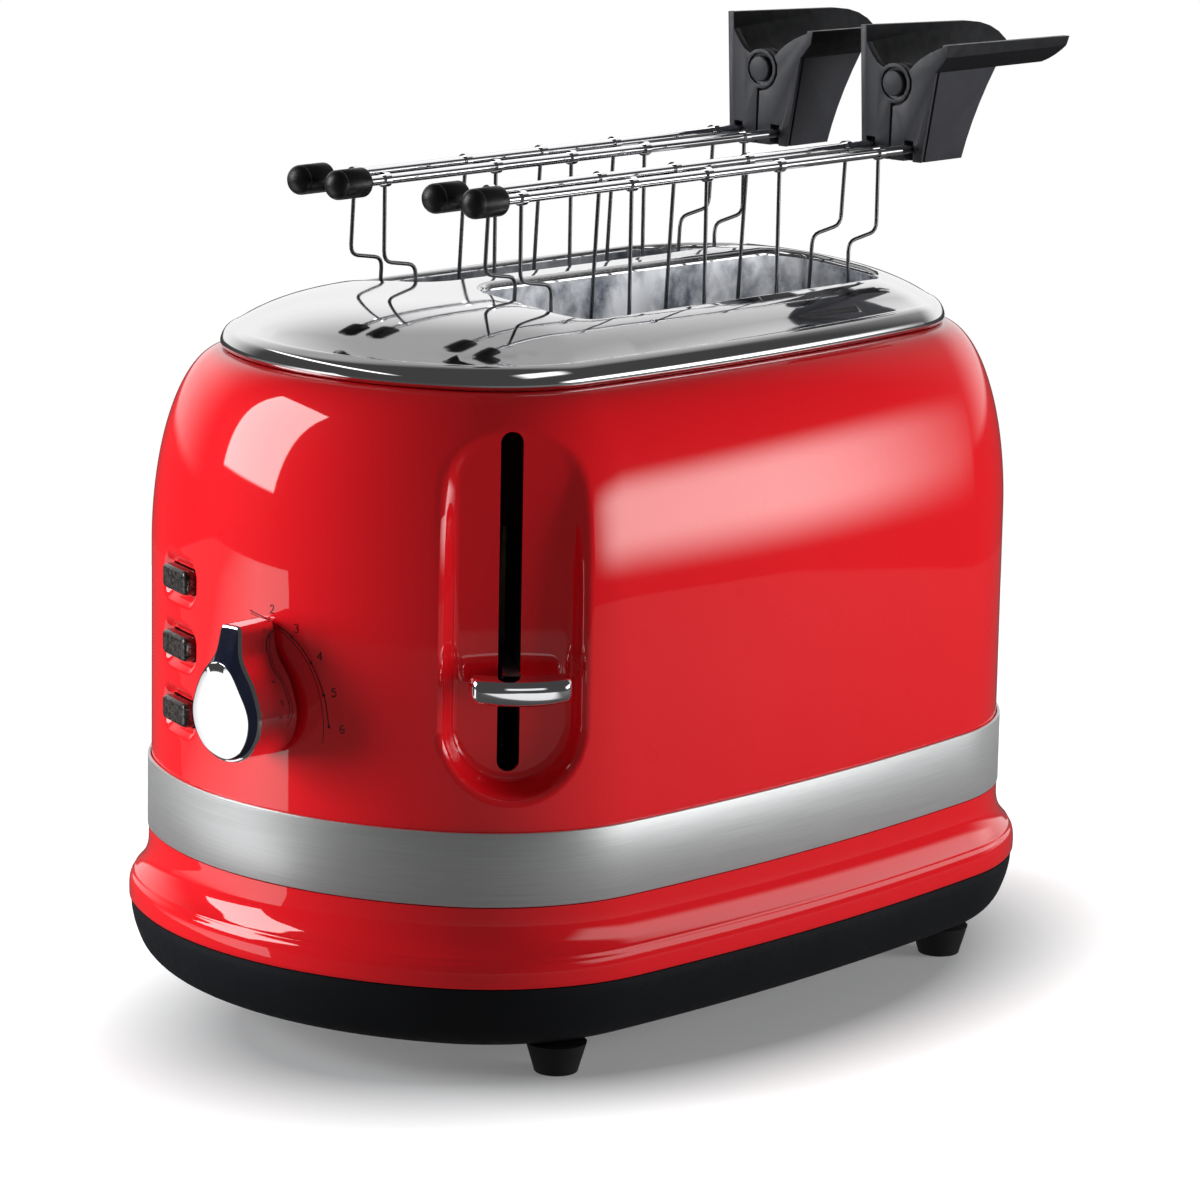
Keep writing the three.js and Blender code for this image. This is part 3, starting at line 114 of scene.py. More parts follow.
# Numbers round the dial as places on the front wall, and strokes in a box of width 0.6 and height 1
DIAL_DOTS = [(4.7, 125.9), (13.3, 122.4), (19.7, 116.0), (23.9, 107.5), (25.6, 98.8)]
DIAL_OUTER = [(-2.2, 127.6), *DIAL_DOTS]
DIAL_INNER = [
    (-1.8, 126.9), (4.9, 125.1), (12.7, 121.6), (18.9, 115.4), (22.6, 107.2), (23.9, 99.0), (23.6, 93.8)]
DIGIT_PLACES = [(6.2, 129.2), (14.8, 125.0), (22.5, 118.2), (27.0, 108.6), (29.6, 98.6)]
DIGIT_SIZE, DIGIT_STROKE = 2.3, 0.3
DIGITS = (
    [[(-0.26, 0.26), (-0.12, 0.47), (0.14, 0.46), (0.26, 0.24), (0.1, -0.06), (-0.28, -0.5)],
     [(-0.28, -0.48), (0.3, -0.48)]],
    [[(-0.26, 0.36), (-0.02, 0.5), (0.22, 0.34), (0.16, 0.1), (-0.04, 0.04)],
     [(-0.04, 0.04), (0.22, -0.06), (0.26, -0.32), (0.0, -0.5), (-0.28, -0.38)]],
    [[(0.14, -0.5), (0.14, 0.5)], [(0.14, 0.5), (-0.3, -0.16)], [(-0.3, -0.18), (0.32, -0.18)]],
    [[(0.24, 0.48), (-0.2, 0.48)], [(-0.2, 0.48), (-0.24, 0.04)],
     [(-0.24, 0.04), (0.04, 0.14), (0.27, -0.08), (0.2, -0.4), (-0.04, -0.5), (-0.28, -0.4)]],
    [[(0.2, 0.44), (-0.06, 0.46), (-0.25, 0.1), (-0.24, -0.3), (0.0, -0.5), (0.25, -0.3), (0.14, 0.02),
      (-0.2, -0.02)]],
)

# Sandwich cages
RAIL_Z, RAIL_RADIUS, RAIL_GAP, COLLAR_RADIUS = 239.5, 1.45, 7.4, 2.1
WIRE_RADIUS, WIRE_OUTER, WIRE_INNER, WIRE_PITCH, JOG_Z = 0.58, 78.9, 65.9, 32.7, 216.0
GRIP_LIP_Z = 262.0
TIP_END, TIP_LENGTH, TIP_RADIUS, TIP_DOME = -90.0, 13.8, 4.25, 3.4
TILT_LEFT, LEFT_SET_BACK = 3.4, 3.0

# Turned pieces keep a hole this wide on their axis, so that their caps stay flat
TURNED_HOLE = 0.05

# Studio, in metres and as radiance; a shade, such as the floor's painted shadow, is its half sizes and how
# far it lies aside
FLOOR_REACH, FLOOR_GLOW = 0.6, (0.14, 0.95)
FLOOR_SHADE, FLOOR_SHADE_EDGE = (0.094, 0.155, 0.015), (0.85, 1.3)
BACKDROP_AZIMUTH, BACKDROP_LIGHT, BACKDROP_SIDES, BACKDROP_TOP = -142.0, 0.95, (0.35, 0.85), (0.3, 0.76)
HORIZON, ROOM_EDGE = (-0.03, 0.02), (-0.4, 0.5)
ROOM_GLOSS, ROOM_SKY, ROOM_GROUND = 0.06, 0.07, 0.34
TABLE_REACH, TABLE_LIGHT, SHEET_LIGHT, SHEET_FADE = 0.7, 0.16, 1.3, 0.14
SHEET_CORNERS = [(-0.04, -0.235), (-0.49, -0.95), (-1.13, -0.68), (-0.80, -0.20), (-0.34, -0.17)]

# Camera, fitted to the photo
CAMERA_AT = Vector((0.9973, -1.1349, 0.4275))
CAMERA_TARGET = Vector((0.0002, -0.0115, 0.1152))
CAMERA_LENS, CAMERA_SENSOR = 156.0, 36.0
CAMERA_ROLL = math.radians(1.04)
CAMERA_SHIFT = (0.0108, -0.0118)


# Meshes


def add_object(name, data):
    piece = bpy.data.objects.new(name, data)
    bpy.context.collection.objects.link(piece)
    return piece


@contextmanager
def edited(mesh):
    """A bmesh of the mesh, written back to it at the end."""
    bm = bmesh.new()
    bm.from_mesh(mesh)
    yield bm
    bm.to_mesh(mesh)
    bm.free()


def new_object(name, vertices, faces, material, smooth=35.0):
    """A mesh from points in millimetres, in the plan's own frame, moved to the frame of the part."""
    points = np.array(vertices, float).reshape(-1, 3) * MM
    points[:, 1] += PLAN_Y * MM
    mesh = bpy.data.meshes.new(name)
    mesh.from_pydata(points.tolist(), [], [tuple(int(i) for i in f) for f in faces])
    mesh.validate()
    with edited(mesh) as bm:
        bmesh.ops.recalc_face_normals(bm, faces=bm.faces)
    mesh.materials.append(material)
    piece = add_object(name, mesh)
    shade(piece, smooth)
    return piece


def shade(piece, angle):
    piece.data.shade_smooth()
    piece.data.set_sharp_from_angle(angle=math.radians(angle))


def grid_faces(rows, columns, looped=False):
    """Quads between closed rows of points; a looped grid also joins its last row to its first."""
    faces = []
    for r in range(rows if looped else rows - 1):
        here, there = r * columns, ((r + 1) % rows) * columns
        for c in range(columns):
            d = (c + 1) % columns
            faces.append((here + c, here + d, there + d, there + c))
    return faces


def loft(name, rings, material, looped=True, smooth=35.0):
    """A skin over rings of points: a looped one joins its last ring to its first."""
    rings = np.array(rings, float)
    return new_object(name, rings, grid_faces(*rings.shape[:2], looped), material, smooth)


def solid_loft(name, rings, material, smooth=35.0):
    """A skin over rings of points, closed at both ends."""
    build = Builder()
    build.add_rings(rings)
    return new_object(name, build.points, build.faces, material, smooth)


class Builder:
    """Collects skins over rings of points into one mesh."""

    def __init__(self):
        self.points, self.faces = [], []

    def add_rings(self, rings, capped=True):
        rings = np.array(rings, float)
        first = len(self.points)
        rows, columns = rings.shape[:2]
        faces = grid_faces(rows, columns)
        if capped:
            faces += [tuple(range(columns)), tuple(range((rows - 1) * columns, rows * columns))]
        self.points.extend(rings.reshape(-1, 3))
        self.faces.extend(tuple(first + i for i in face) for face in faces)


def apply_modifier(piece, kind, **settings):
    modifier = piece.modifiers.new(kind.lower(), kind)
    for key, value in settings.items():
        setattr(modifier, key, value)
    graph = bpy.context.evaluated_depsgraph_get()
    mesh = bpy.data.meshes.new_from_object(piece.evaluated_get(graph))
    piece.modifiers.remove(modifier)
    old = piece.data
    piece.data = mesh
    bpy.data.meshes.remove(old)


def cut_hole(piece, where, outline, start, stop):
    """Cuts an opening of the given outline through a wall, between two depths on a frame."""
    rings = [on_frame(where, *outline.T, depth) for depth in (start, stop)]
    cutter = solid_loft("cutter", rings, RED)
    apply_modifier(piece, "BOOLEAN", operation="DIFFERENCE", solver="EXACT", object=cutter)
    mesh = cutter.data
    bpy.data.objects.remove(cutter)
    bpy.data.meshes.remove(mesh)


def rounded_copy(node, body, slot_name, width, angle=28.0):
    """A copy of a CAD node with its edges rounded, which stands for the node."""
    mesh = frame["nodes"][node].data.copy()
    mesh.materials.clear()
    mesh.materials.append(LOOKS[slot_name])
    piece = add_object(node + "_dressed", mesh)
    with edited(mesh) as bm:
        bmesh.ops.remove_doubles(bm, verts=bm.verts, dist=0.01 * MM)
        bmesh.ops.dissolve_limit(bm, angle_limit=math.radians(1.0), verts=bm.verts, edges=bm.edges)
    apply_modifier(
        piece, "BEVEL", width=width * MM, segments=3, limit_method="ANGLE", angle_limit=math.radians(angle))
    shade(piece, 40.0)
    finish_piece(piece, body, slot_name, node)
    return piece


def finish_piece(piece, body, slot_name, *nodes):
    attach(piece, body)
    if nodes:
        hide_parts(*nodes)


def spline(points, count):
    """Points along a smooth curve through the given ones."""
    p = np.array(points, float)
    p = np.vstack([2 * p[0] - p[1], p, 2 * p[-1] - p[-2]])
    out = []
    for a, b, c, d in zip(p, p[1:], p[2:], p[3:]):
        for t in np.linspace(0, 1, count, endpoint=False):
            out.append(0.5 * (2 * b + (c - a) * t + (2 * a - 5 * b + 4 * c - d) * t ** 2
                              + (3 * b - a - 3 * c + d) * t ** 3))
    return np.array([*out, p[-2]])


# Plan outline


def arc_radius(half, bulge):
    return (half * half + bulge * bulge) / (2 * bulge)


SIDE_RADIUS = arc_radius(HALF_LENGTH, SIDE_BULGE)
END_RADIUS = arc_radius(HALF_WIDTH, END_BULGE)
SIDE_CENTRE = np.array([HALF_WIDTH - SIDE_RADIUS, 0.0])
END_CENTRE = np.array([0.0, HALF_LENGTH - END_RADIUS])


def find_corner_centre():
    r0, r1 = SIDE_RADIUS - CORNER_RADIUS, END_RADIUS - CORNER_RADIUS
    between = END_CENTRE - SIDE_CENTRE
    d = np.linalg.norm(between)
    along = (r0 * r0 - r1 * r1 + d * d) / (2 * d)
    across = math.sqrt(max(r0 * r0 - along * along, 0))
    unit = between / d
    return SIDE_CENTRE + unit * along + np.array([-unit[1], unit[0]]) * across


CORNER_CENTRE = find_corner_centre()
SIDE_TURN = math.atan2(*(CORNER_CENTRE - SIDE_CENTRE)[::-1])
END_TURN = math.atan2(*(CORNER_CENTRE - END_CENTRE)[::-1])


def quadrant_point(angle, offset):
    normal = np.array([math.cos(angle), math.sin(angle)])
    if angle < SIDE_TURN:
        return normal * (SIDE_RADIUS + offset) + SIDE_CENTRE
    if angle < END_TURN:
        return normal * (CORNER_RADIUS + offset) + CORNER_CENTRE
    return normal * (END_RADIUS + offset) + END_CENTRE


QUADRANT = np.concatenate([
    np.linspace(0, SIDE_TURN, SIDE_STEPS, endpoint=False),
    np.linspace(SIDE_TURN, END_TURN, CORNER_STEPS, endpoint=False),
    np.linspace(END_TURN, math.pi / 2, END_STEPS + 1),
])


def finer_quadrant(degrees, reach, count):
    """The quadrant's angles with more of them round one place."""
    centre = math.pi / 2 - math.radians(abs(degrees))
    return np.unique(np.round(np.append(QUADRANT, np.linspace(centre - reach, centre + reach, count)), 5))


def plan_points(offset, right=QUADRANT, left=QUADRANT):
    """The outline, anticlockwise from +X, with the given angles in its two front quadrants."""
    rear, right, left = (
        np.array([quadrant_point(a, offset) for a in angles]) for angles in (QUADRANT, right, left))
    return np.vstack([
        rear[:-1], (rear * [-1, 1])[::-1][:-1], (left * [-1, -1])[:-1], (right * [1, -1])[::-1][:-1]])


def raised(points, z):
    return np.column_stack([points, np.full(len(points), z)])


def plan_ring(offset, z, *angles):
    return raised(plan_points(offset, *angles), z)


def wall_frame(degrees, height):
    """A frame on the body wall: x along the wall, y up, z out of it."""
    angle = math.radians(degrees)
    spot = quadrant_point(math.pi / 2 - abs(angle), -SHELL_INSET)
    along = np.array([math.cos(angle), math.sin(angle), 0.0])
    out = np.array([math.sin(angle), -math.cos(angle), 0.0])
    origin = np.array([math.copysign(spot[0], angle), -spot[1], height])
    return origin, along, out


def button_frame(level):
    """The frame on the wall at a button's middle."""
    low, high = span("button_" + level)
    return wall_frame(BUTTON_ANGLE, (low[2] + high[2]) / 2)


def on_frame(where, *places):
    """Points on a wall frame from places along, up and out, each a row of numbers or one number for all."""
    origin, along, out = where
    a, u, o = (place[:, None] for place in np.broadcast_arrays(*places))
    return origin + a * along + u * np.array([0.0, 0.0, 1.0]) + o * out


def circle(radius, count):
    turn = np.linspace(0, 2 * math.pi, count, endpoint=False)
    return radius * np.column_stack([np.cos(turn), np.sin(turn)])


def stadium(half, low, high):
    turn = np.linspace(0, math.pi, 20)
    top = np.column_stack([half * np.cos(turn), high - half + half * np.sin(turn)])
    bottom = np.column_stack([-half * np.cos(turn), low + half - half * np.sin(turn)])
    return np.vstack([top, bottom])


def rounded_rectangle(half_x, half_y, radius, count=10):
    corners = []
    for quarter, (sx, sy) in enumerate([(1, 1), (-1, 1), (-1, -1), (1, -1)]):
        turn = np.linspace(0, math.pi / 2, count) + quarter * math.pi / 2
        corners.append(np.column_stack([
            sx * (half_x - radius) + radius * np.cos(turn),
            sy * (half_y - radius) + radius * np.sin(turn)]))
    return np.vstack(corners)


# Materials


class Nodes:
    """A node tree with a few helpers that add nodes and join them."""

    def __init__(self, tree):
        self.tree = tree

    def add(self, kind, inputs=(), **settings):
        """A new node. Its inputs are given as numbers, or as the outputs that they are joined to."""
        node = self.tree.nodes.new(kind)
        for key, value in settings.items():
            setattr(node, key, value)
        for key, value in dict(inputs).items():
            if isinstance(value, bpy.types.NodeSocket):
                self.link(value, node.inputs[key])
            else:
                node.inputs[key].default_value = value
        return node

    def link(self, start, end):
        self.tree.links.new(start, end)

    def ramp(self, value, low, high, start=0.3, stop=0.7, kind="LINEAR"):
        """Turns values from start to stop into values from low to high."""
        inputs = {"Value": value, "From Min": start, "From Max": stop, "To Min": low, "To Max": high}
        return self.add("ShaderNodeMapRange", inputs, interpolation_type=kind).outputs["Result"]

    def calculate(self, operation, *values):
        return self.add("ShaderNodeMath", enumerate(values), operation=operation).outputs[0]

    def dot(self, value, vector):
        inputs = {0: value, 1: vector}
        return self.add("ShaderNodeVectorMath", inputs, operation="DOT_PRODUCT").outputs["Value"]

    def part(self, value, axis):
        return self.add("ShaderNodeSeparateXYZ", {"Vector": value}).outputs[axis]


class Look(Nodes):
    """A principled material whose colour, roughness, bump and glow can follow a value."""

    def __init__(self, name, color, roughness, metallic=0.0, **inputs):
        self.material = bpy.data.materials.new(name)
        self.material.use_nodes = True
        super().__init__(self.material.node_tree)
        self.shader = self.tree.nodes["Principled BSDF"]
        inputs = {"Base_Color": (*color, 1.0), "Roughness": roughness, "Metallic": metallic, **inputs}
        for key, value in inputs.items():
            self.shader.inputs[key.replace("_", " ")].default_value = value
        self.coordinates = self.add("ShaderNodeTexCoord").outputs["Object"]

    def noise(self, scale, detail, stretch=(1, 1, 1), roughness=0.5):
        place = self.add("ShaderNodeMapping", {"Vector": self.coordinates, "Scale": stretch})
        inputs = {"Vector": place.outputs[0], "Scale": scale, "Detail": detail, "Roughness": roughness}
        return self.add("ShaderNodeTexNoise", inputs).outputs["Fac"]

    def vary_color(self, value, first, second, start=0.3, stop=0.7):
        node = self.add("ShaderNodeValToRGB", {"Fac": value})
        for element, position, color in zip(node.color_ramp.elements, (start, stop), (first, second)):
            element.position = position
            element.color = (*color, 1)
        self.link(node.outputs["Color"], self.shader.inputs["Base Color"])

    def vary_roughness(self, value, low, high):
        self.link(self.ramp(value, low, high), self.shader.inputs["Roughness"])

    def bump(self, value, strength, distance):
        node = self.add("ShaderNodeBump", {"Height": value, "Strength": strength, "Distance": distance * MM})
        self.link(node.outputs["Normal"], self.shader.inputs["Normal"])

    def glow(self, strength):
        self.shader.inputs["Emission Color"].default_value = (1, 1, 1, 1)
        self.link(strength, self.shader.inputs["Emission Strength"])


LOOKS = {}


def make_look(name, color, roughness, metallic=0.0, tint=None, rough=None, bump=None, **inputs):
    """A look with up to three noises, each given as its scale and detail, and what it varies between."""
    look = Look(name, color, roughness, metallic, **inputs)
    for vary, given in ((look.vary_color, tint), (look.vary_roughness, rough), (look.bump, bump)):
        if given:
            noise, *limits = given
            vary(look.noise(*noise), *limits)
    LOOKS[name] = look.material
    return look.material


RED = make_look(
    "red_enamel", (0.86, 0.006, 0.010), 0.3, tint=((9, 2), (0.84, 0.0055, 0.012), (0.88, 0.0075, 0.015)),
    rough=((60, 4), 0.26, 0.34), bump=((420, 2), 0.05, 0.02),
    Coat_Weight=1.0, Coat_Roughness=0.03, Coat_IOR=1.75, Specular_IOR_Level=0.02)
STREAKS = 30, 6, (1.2, 1.2, 140), 0.65
BRUSHED = make_look(
    "brushed_band", (0.78, 0.79, 0.79), 0.38, 0.75,
    tint=(STREAKS, (0.70, 0.71, 0.715), (0.86, 0.87, 0.875), 0.25, 0.75),
    rough=(STREAKS, 0.34, 0.46), bump=(STREAKS, 0.25, 0.05))
POLISHED = make_look(
    "polished_steel", (0.80, 0.80, 0.81), 0.05, 1.0, rough=((35, 5), 0.03, 0.09), bump=((18, 2), 0.06, 0.3))
CHROME, WIRE = (
    make_look(name, (0.82, 0.82, 0.84), 0.05, 1.0, rough=((80, 3), 0.03, 0.08))
    for name in ("chrome_trim", "cage_wire"))
THIN_WIRE = make_look("thin_wire", (0.2, 0.2, 0.21), 0.3, 1.0, rough=((120, 3), 0.24, 0.36))
# Mill finish sheet, grey beside the polished top, with painted reflections: the dark and light clouds in its
# colour stand for blurred reflections
SLOT_STEEL_PAINTED_REFLECTIONS = make_look(
    "slot_steel_painted_reflections", (0.6, 0.63, 0.68), 0.42, 0.35,
    tint=((48, 6, (1, 1, 0.9), 0.66), (0.13, 0.145, 0.18), (0.88, 0.9, 0.94), 0.38, 0.62),
    rough=((60, 3), 0.3, 0.5), bump=((26, 3), 0.3, 0.5))
# Near-black chrome for the knob's bevel: a painted dark reflection
KNOB_PAINTED_DARK_REFLECTION = make_look(
    "knob_chrome_painted_dark_reflection", (0.006, 0.008, 0.022), 0.12, rough=((120, 3), 0.08, 0.16),
    Coat_Weight=0.5, Coat_Roughness=0.05)
make_look(
    "zinc_steel", (0.42, 0.43, 0.44), 0.4, 1.0, tint=((55, 5), (0.34, 0.35, 0.36), (0.5, 0.51, 0.52)),
    rough=((90, 4), 0.32, 0.5))
BLACK = make_look(
    "base_plastic", (0.005, 0.0055, 0.007), 0.5,
    tint=((25, 3), (0.006, 0.0066, 0.0085), (0.009, 0.0098, 0.0125)),
    rough=((300, 3), 0.42, 0.58), bump=((900, 3), 0.35, 0.06), Specular_IOR_Level=0.25)
# The third is painted shade: a near-black copy of the grip plastic for the grips' shaded faces
FOOT, TIP, GRIP_PAINTED_SHADE = (
    make_look(name, color, middle, rough=((250, 3), middle - 0.08, middle + 0.08), bump=((700, 3), 0.3, 0.05))
    for name, color, middle in (
        ("foot_rubber", (0.010, 0.010, 0.011), 0.55), ("tip_rubber", (0.008, 0.008, 0.009), 0.38),
        ("grip_painted_shade", (0.004, 0.0045, 0.006), 0.6)))
make_look(
    "grip_plastic", (0.028, 0.029, 0.034), 0.42, tint=((40, 3), (0.024, 0.025, 0.030), (0.034, 0.035, 0.041)),
    rough=((400, 4), 0.36, 0.5), bump=((1400, 3), 0.4, 0.05))
SMOKE = make_look(
    "smoked_button", (0.09, 0.075, 0.07), 0.25, 0.4,
    tint=((900, 5), (0.012, 0.010, 0.010), (0.12, 0.105, 0.10), 0.38, 0.7), bump=((1500, 3), 0.3, 0.08),
    Coat_Weight=0.6, Coat_Roughness=0.08)
make_look(
    "mica", (0.5, 0.42, 0.27), 0.6, tint=((45, 6), (0.36, 0.29, 0.18), (0.58, 0.5, 0.35)),
    bump=((200, 4), 0.3, 0.1))
make_look("circuit_board", (0.03, 0.12, 0.05), 0.45, tint=((120, 4), (0.02, 0.09, 0.035), (0.04, 0.15, 0.06)))
make_look(
    "magnet_iron", (0.3, 0.12, 0.05), 0.4, 0.7,
    tint=((40, 3, (1, 1, 40)), (0.2, 0.07, 0.03), (0.42, 0.18, 0.08)))
INK = make_look("dial_ink", (0.05, 0.002, 0.003), 0.4, rough=((500, 3), 0.35, 0.5))


def paint_frame():
    """Every CAD node that stays gets the look of its material slot."""
    slots = {row["node"]: row["material_slot"] for row in frame["record"]["subparts"]}
    for name, node in frame["nodes"].items():
        node.data.materials.clear()
        node.data.materials.append(LOOKS[slots[name]])
        shade(node, 32)


# Body


def smoothstep(t):
    t = np.clip(t, 0, 1)
    return t * t * t * (t * (6 * t - 15) + 10)


def press_recess(points):
    """Sinks the wall points that lie under the lever recess."""
    origin, along, out = wall_frame(RECESS_ANGLE, 0.0)
    p = points - origin
    a, h, w = p @ along - RECESS_ASIDE, points[:, 2], p @ out
    spine = np.clip(h, RECESS_LOW + FLOOR_HALF, RECESS_HIGH - FLOOR_HALF)
    distance = np.hypot(a, h - spine)
    share = smoothstep((distance - FLOOR_HALF) / (MOUTH_HALF - FLOOR_HALF))
    near = (distance < MOUTH_HALF) & (w > -RECESS_DEPTH)
    sunk = -RECESS_DEPTH + (w + RECESS_DEPTH) * share
    return points + np.where(near, sunk - w, 0.0)[:, None] * out


def press_dimples(points):
    """Sinks the wall a little round each button."""
    wall_reach = 8
    moved = points.copy()
    for level in BUTTONS:
        origin, along, out = button_frame(level)
        p = points - origin
        past_x = np.maximum(abs(p @ along) - (BUTTON_WIDE / 2 - BUTTON_CORNER), 0)
        past_z = np.maximum(abs(p[:, 2]) - (BUTTON_TALL / 2 - BUTTON_CORNER), 0)
        share = smoothstep((np.hypot(past_x, past_z) - BUTTON_CORNER) / DIMPLE_REACH)
        near = (share < 1) & (abs(p @ out) < wall_reach)
        moved -= np.where(near, DIMPLE_DEPTH * (1 - share), 0.0)[:, None] * out
    return moved


def shell_rows():
    """Offset and height pairs up the wall, over the shoulder and down the rolled rim."""
    fine_start, fine_step = 76, 0.9
    wall = [(0.0, z) for z in np.linspace(shell_low[2], fine_start, 8, endpoint=False)]
    wall += [(0.0, z) for z in np.arange(fine_start, SHOULDER_START, fine_step)]
    turns = np.linspace(0, math.pi / 2, 62)
    arc = [(SHOULDER_RUN * (math.cos(t) - 1), SHOULDER_START + SHOULDER_RISE * math.sin(t)) for t in turns]
    top = arc[-1][1]
    rim = [(-SHOULDER_RUN - 1.2, top - 0.25), (-SHOULDER_RUN - 2.2, top - 1.2)]
    return [(offset - SHELL_INSET, z) for offset, z in wall + arc + rim]


def make_shell():
    """The enamelled wall with its recess, dimples, lever slot and windows, and a bore for the gland."""
    right = finer_quadrant(RECESS_ANGLE, 1.25 * MOUTH_HALF / CORNER_RADIUS, 64)
    left = finer_quadrant(BUTTON_ANGLE, 0.75 * BUTTON_WIDE / END_RADIUS, 40)
    rings = np.array([plan_ring(offset, z, right, left) for offset, z in shell_rows()])
    pressed = press_dimples(press_recess(rings.reshape(-1, 3)))
    shell = loft("shell_skin", pressed.reshape(rings.shape), RED, looped=False)
    apply_modifier(shell, "SOLIDIFY", thickness=SHELL_WALL * MM, offset=-1.0, use_even_offset=True)
    lever_slot = stadium(CUT_HALF, CUT_LOW, CUT_HIGH)
    cut_hole(shell, wall_frame(RECESS_ANGLE, 0.0), lever_slot, *SLOT_CUT)
    window = rounded_rectangle(
        BUTTON_WIDE / 2 + BUTTON_GAP, BUTTON_TALL / 2 + BUTTON_GAP, BUTTON_CORNER + BUTTON_GAP)
    for level in BUTTONS:
        cut_hole(shell, button_frame(level), window, *WINDOW_CUT)
    low, high = span("cord_gland")
    gland = np.array([(low[0] + high[0]) / 2, high[1] - PLAN_Y, (low[2] + high[2]) / 2])
    rear_wall = gland, np.array([1.0, 0.0, 0.0]), np.array([0.0, 1.0, 0.0])
    bore = 0.3 * (high[2] - low[2])
    cut_hole(shell, rear_wall, circle(bore, 24), *BORE_CUT)
    shade(shell, 35.0)
    finish_piece(shell, "root", "red_enamel", "body_shell")


def make_band():
    proud, thick, edge, corner = 0.3, 0.8, 0.25, 0.07
    low, high = band_low[2], band_high[2]
    profile = [
        (proud - thick, low), (proud - edge, low), (proud - corner, low + corner), (proud, low + edge),
        (proud, high - edge), (proud - corner, high - corner), (proud - edge, high), (proud - thick, high)]
    band = loft("brushed_band", [plan_ring(o, z) for o, z in profile], BRUSHED, smooth=50)
    finish_piece(band, "root", "brushed_band", "steel_band")


def make_skirt():
    """Flares in a step under the band, then falls almost straight."""
    top, low = skirt_high[2], skirt_low[2]
    outer = spline([
        (0.0, top), (0.0, top - 4.0), (0.4, top - 7.0), (1.5, top - 9.9), (3.3, top - 12.3),
        (4.15, top - 13.2), (4.5, top - 14.0), (5.15, top - 15.0), (5.55, top - 16.6), (5.65, top - 18.4),
        (5.6, low + 0.8)], 5)
    inner = [(5.0, low), (4.2, low), (4.2, low + 4), (0.4, top - 9), (-1.2, top - 4), (-1.2, top)]
    skirt = loft("flared_skirt", [plan_ring(o, z) for o, z in [*outer, *inner]], RED, smooth=50)
    finish_piece(skirt, "root", "red_enamel", "lower_skirt")


def make_base():
    """A tray whose underside rises towards its edge."""
    low, high = base_low[2], base_high[2]
    outer = spline([
        (-18.0, low), (-9.0, low + 1.2), (-2.6, low + 3.6), (1.2, low + 7.4), (3.6, low + 12.8),
        (4.8, low + 17.6), (5.0, high)], 6)
    inner = [(2.6, high), (2.6, high - 4), (-2, low + 9), (-9, low + 4.6), (-18, low + 3.4)]
    base = solid_loft("black_base", [plan_ring(o, z) for o, z in [*outer, *inner]], BLACK, smooth=50)
    finish_piece(base, "root", "base_plastic", "base_tray")


# Top plate


PLATE_EDGE = -SHELL_INSET - SHOULDER_RUN + BEAD_INSET
DOME_EDGE = PLATE_EDGE - BEAD_WIDTH
DOME_OUTLINE = plan_points(DOME_EDGE)


def edge_reach(ridge_y, heading):
    """How far the dome's edge is from a place on the ridge, along a heading on the plan."""
    along = np.roll(DOME_OUTLINE, -1, axis=0) - DOME_OUTLINE
    a = DOME_OUTLINE - np.array([0.0, ridge_y])
    slant = heading[0] * along[:, 1] - heading[1] * along[:, 0]
    slant = np.where(abs(slant) < 1e-9, 1e-9, slant)
    distance = (a[:, 0] * along[:, 1] - a[:, 1] * along[:, 0]) / slant
    share = (a[:, 0] * heading[1] - a[:, 1] * heading[0]) / slant
    hit = (distance > 0) & (share >= -1e-6) & (share <= 1 + 1e-6)
    return distance[hit].min()


def dome_height(x, y):
    """The plate's height: an even fall from the ridge, and a steep one towards the edge."""
    ridge_y = min(max(y, -RIDGE), RIDGE)
    away = np.array([x, y - ridge_y])
    length = np.linalg.norm(away)
    if length < 1e-6:
        return PLATE_CROWN
    share = min(length / edge_reach(ridge_y, away / length), 1.0)
    return PLATE_CROWN - RIM_DROP * (RIM_EVEN * share ** 2 + (1 - RIM_EVEN) * share ** 6)


def over_slot(point, grow):
    """Whether a place on the plan lies over a slot whose outline is grown all round."""
    radius = SLOT_CORNER + grow
    for side in (-1, 1):
        dx = abs(point[0] - side * SLOT_X) - (SLOT_HALF_WIDTH + grow - radius)
        dy = abs(point[1] - SLOT_Y) - (SLOT_HALF_LENGTH + grow - radius)
        if math.hypot(max(dx, 0), max(dy, 0)) < radius or (min(dx, dy) < 0 and max(dx, dy) < radius):
            return True
    return False


def slot_outline(side, grow):
    points = rounded_rectangle(SLOT_HALF_WIDTH + grow, SLOT_HALF_LENGTH + grow, SLOT_CORNER + grow, 12)
    return points + [side * SLOT_X, SLOT_Y]


def plate_field():
    """The dome between its edge and the two slots, as points on a plan and triangles."""
    step = 3.0
    edge_room, slot_room = step * 0.8, step * 0.6
    points, edges = [], []
    for loop in (DOME_OUTLINE, slot_outline(-1, SLOT_ROLL), slot_outline(1, SLOT_ROLL)):
        first = len(points)
        points += [tuple(p) for p in loop]
        edges += [(first + i, first + (i + 1) % len(loop)) for i in range(len(loop))]
    inner = plan_points(DOME_EDGE - edge_room)
    half_x, half_y = abs(inner).max(axis=0)
    angles, reach = np.arctan2(inner[:, 1], inner[:, 0]), np.hypot(*inner.T)
    for x in np.arange(-half_x, half_x, step):
        for y in np.arange(-half_y, half_y, step):
            inside = math.hypot(x, y) <= np.interp(math.atan2(y, x), angles, reach, period=2 * math.pi)
            if inside and not over_slot((x, y), SLOT_ROLL + slot_room):
                points.append((x, y))
    result = delaunay_2d_cdt([Vector(p) for p in points], edges, [], 0, 1e-4)
    plan = np.array([tuple(p) for p in result[0]])
    return plan, [face for face in result[2] if not over_slot(plan[list(face)].mean(axis=0), SLOT_ROLL)]


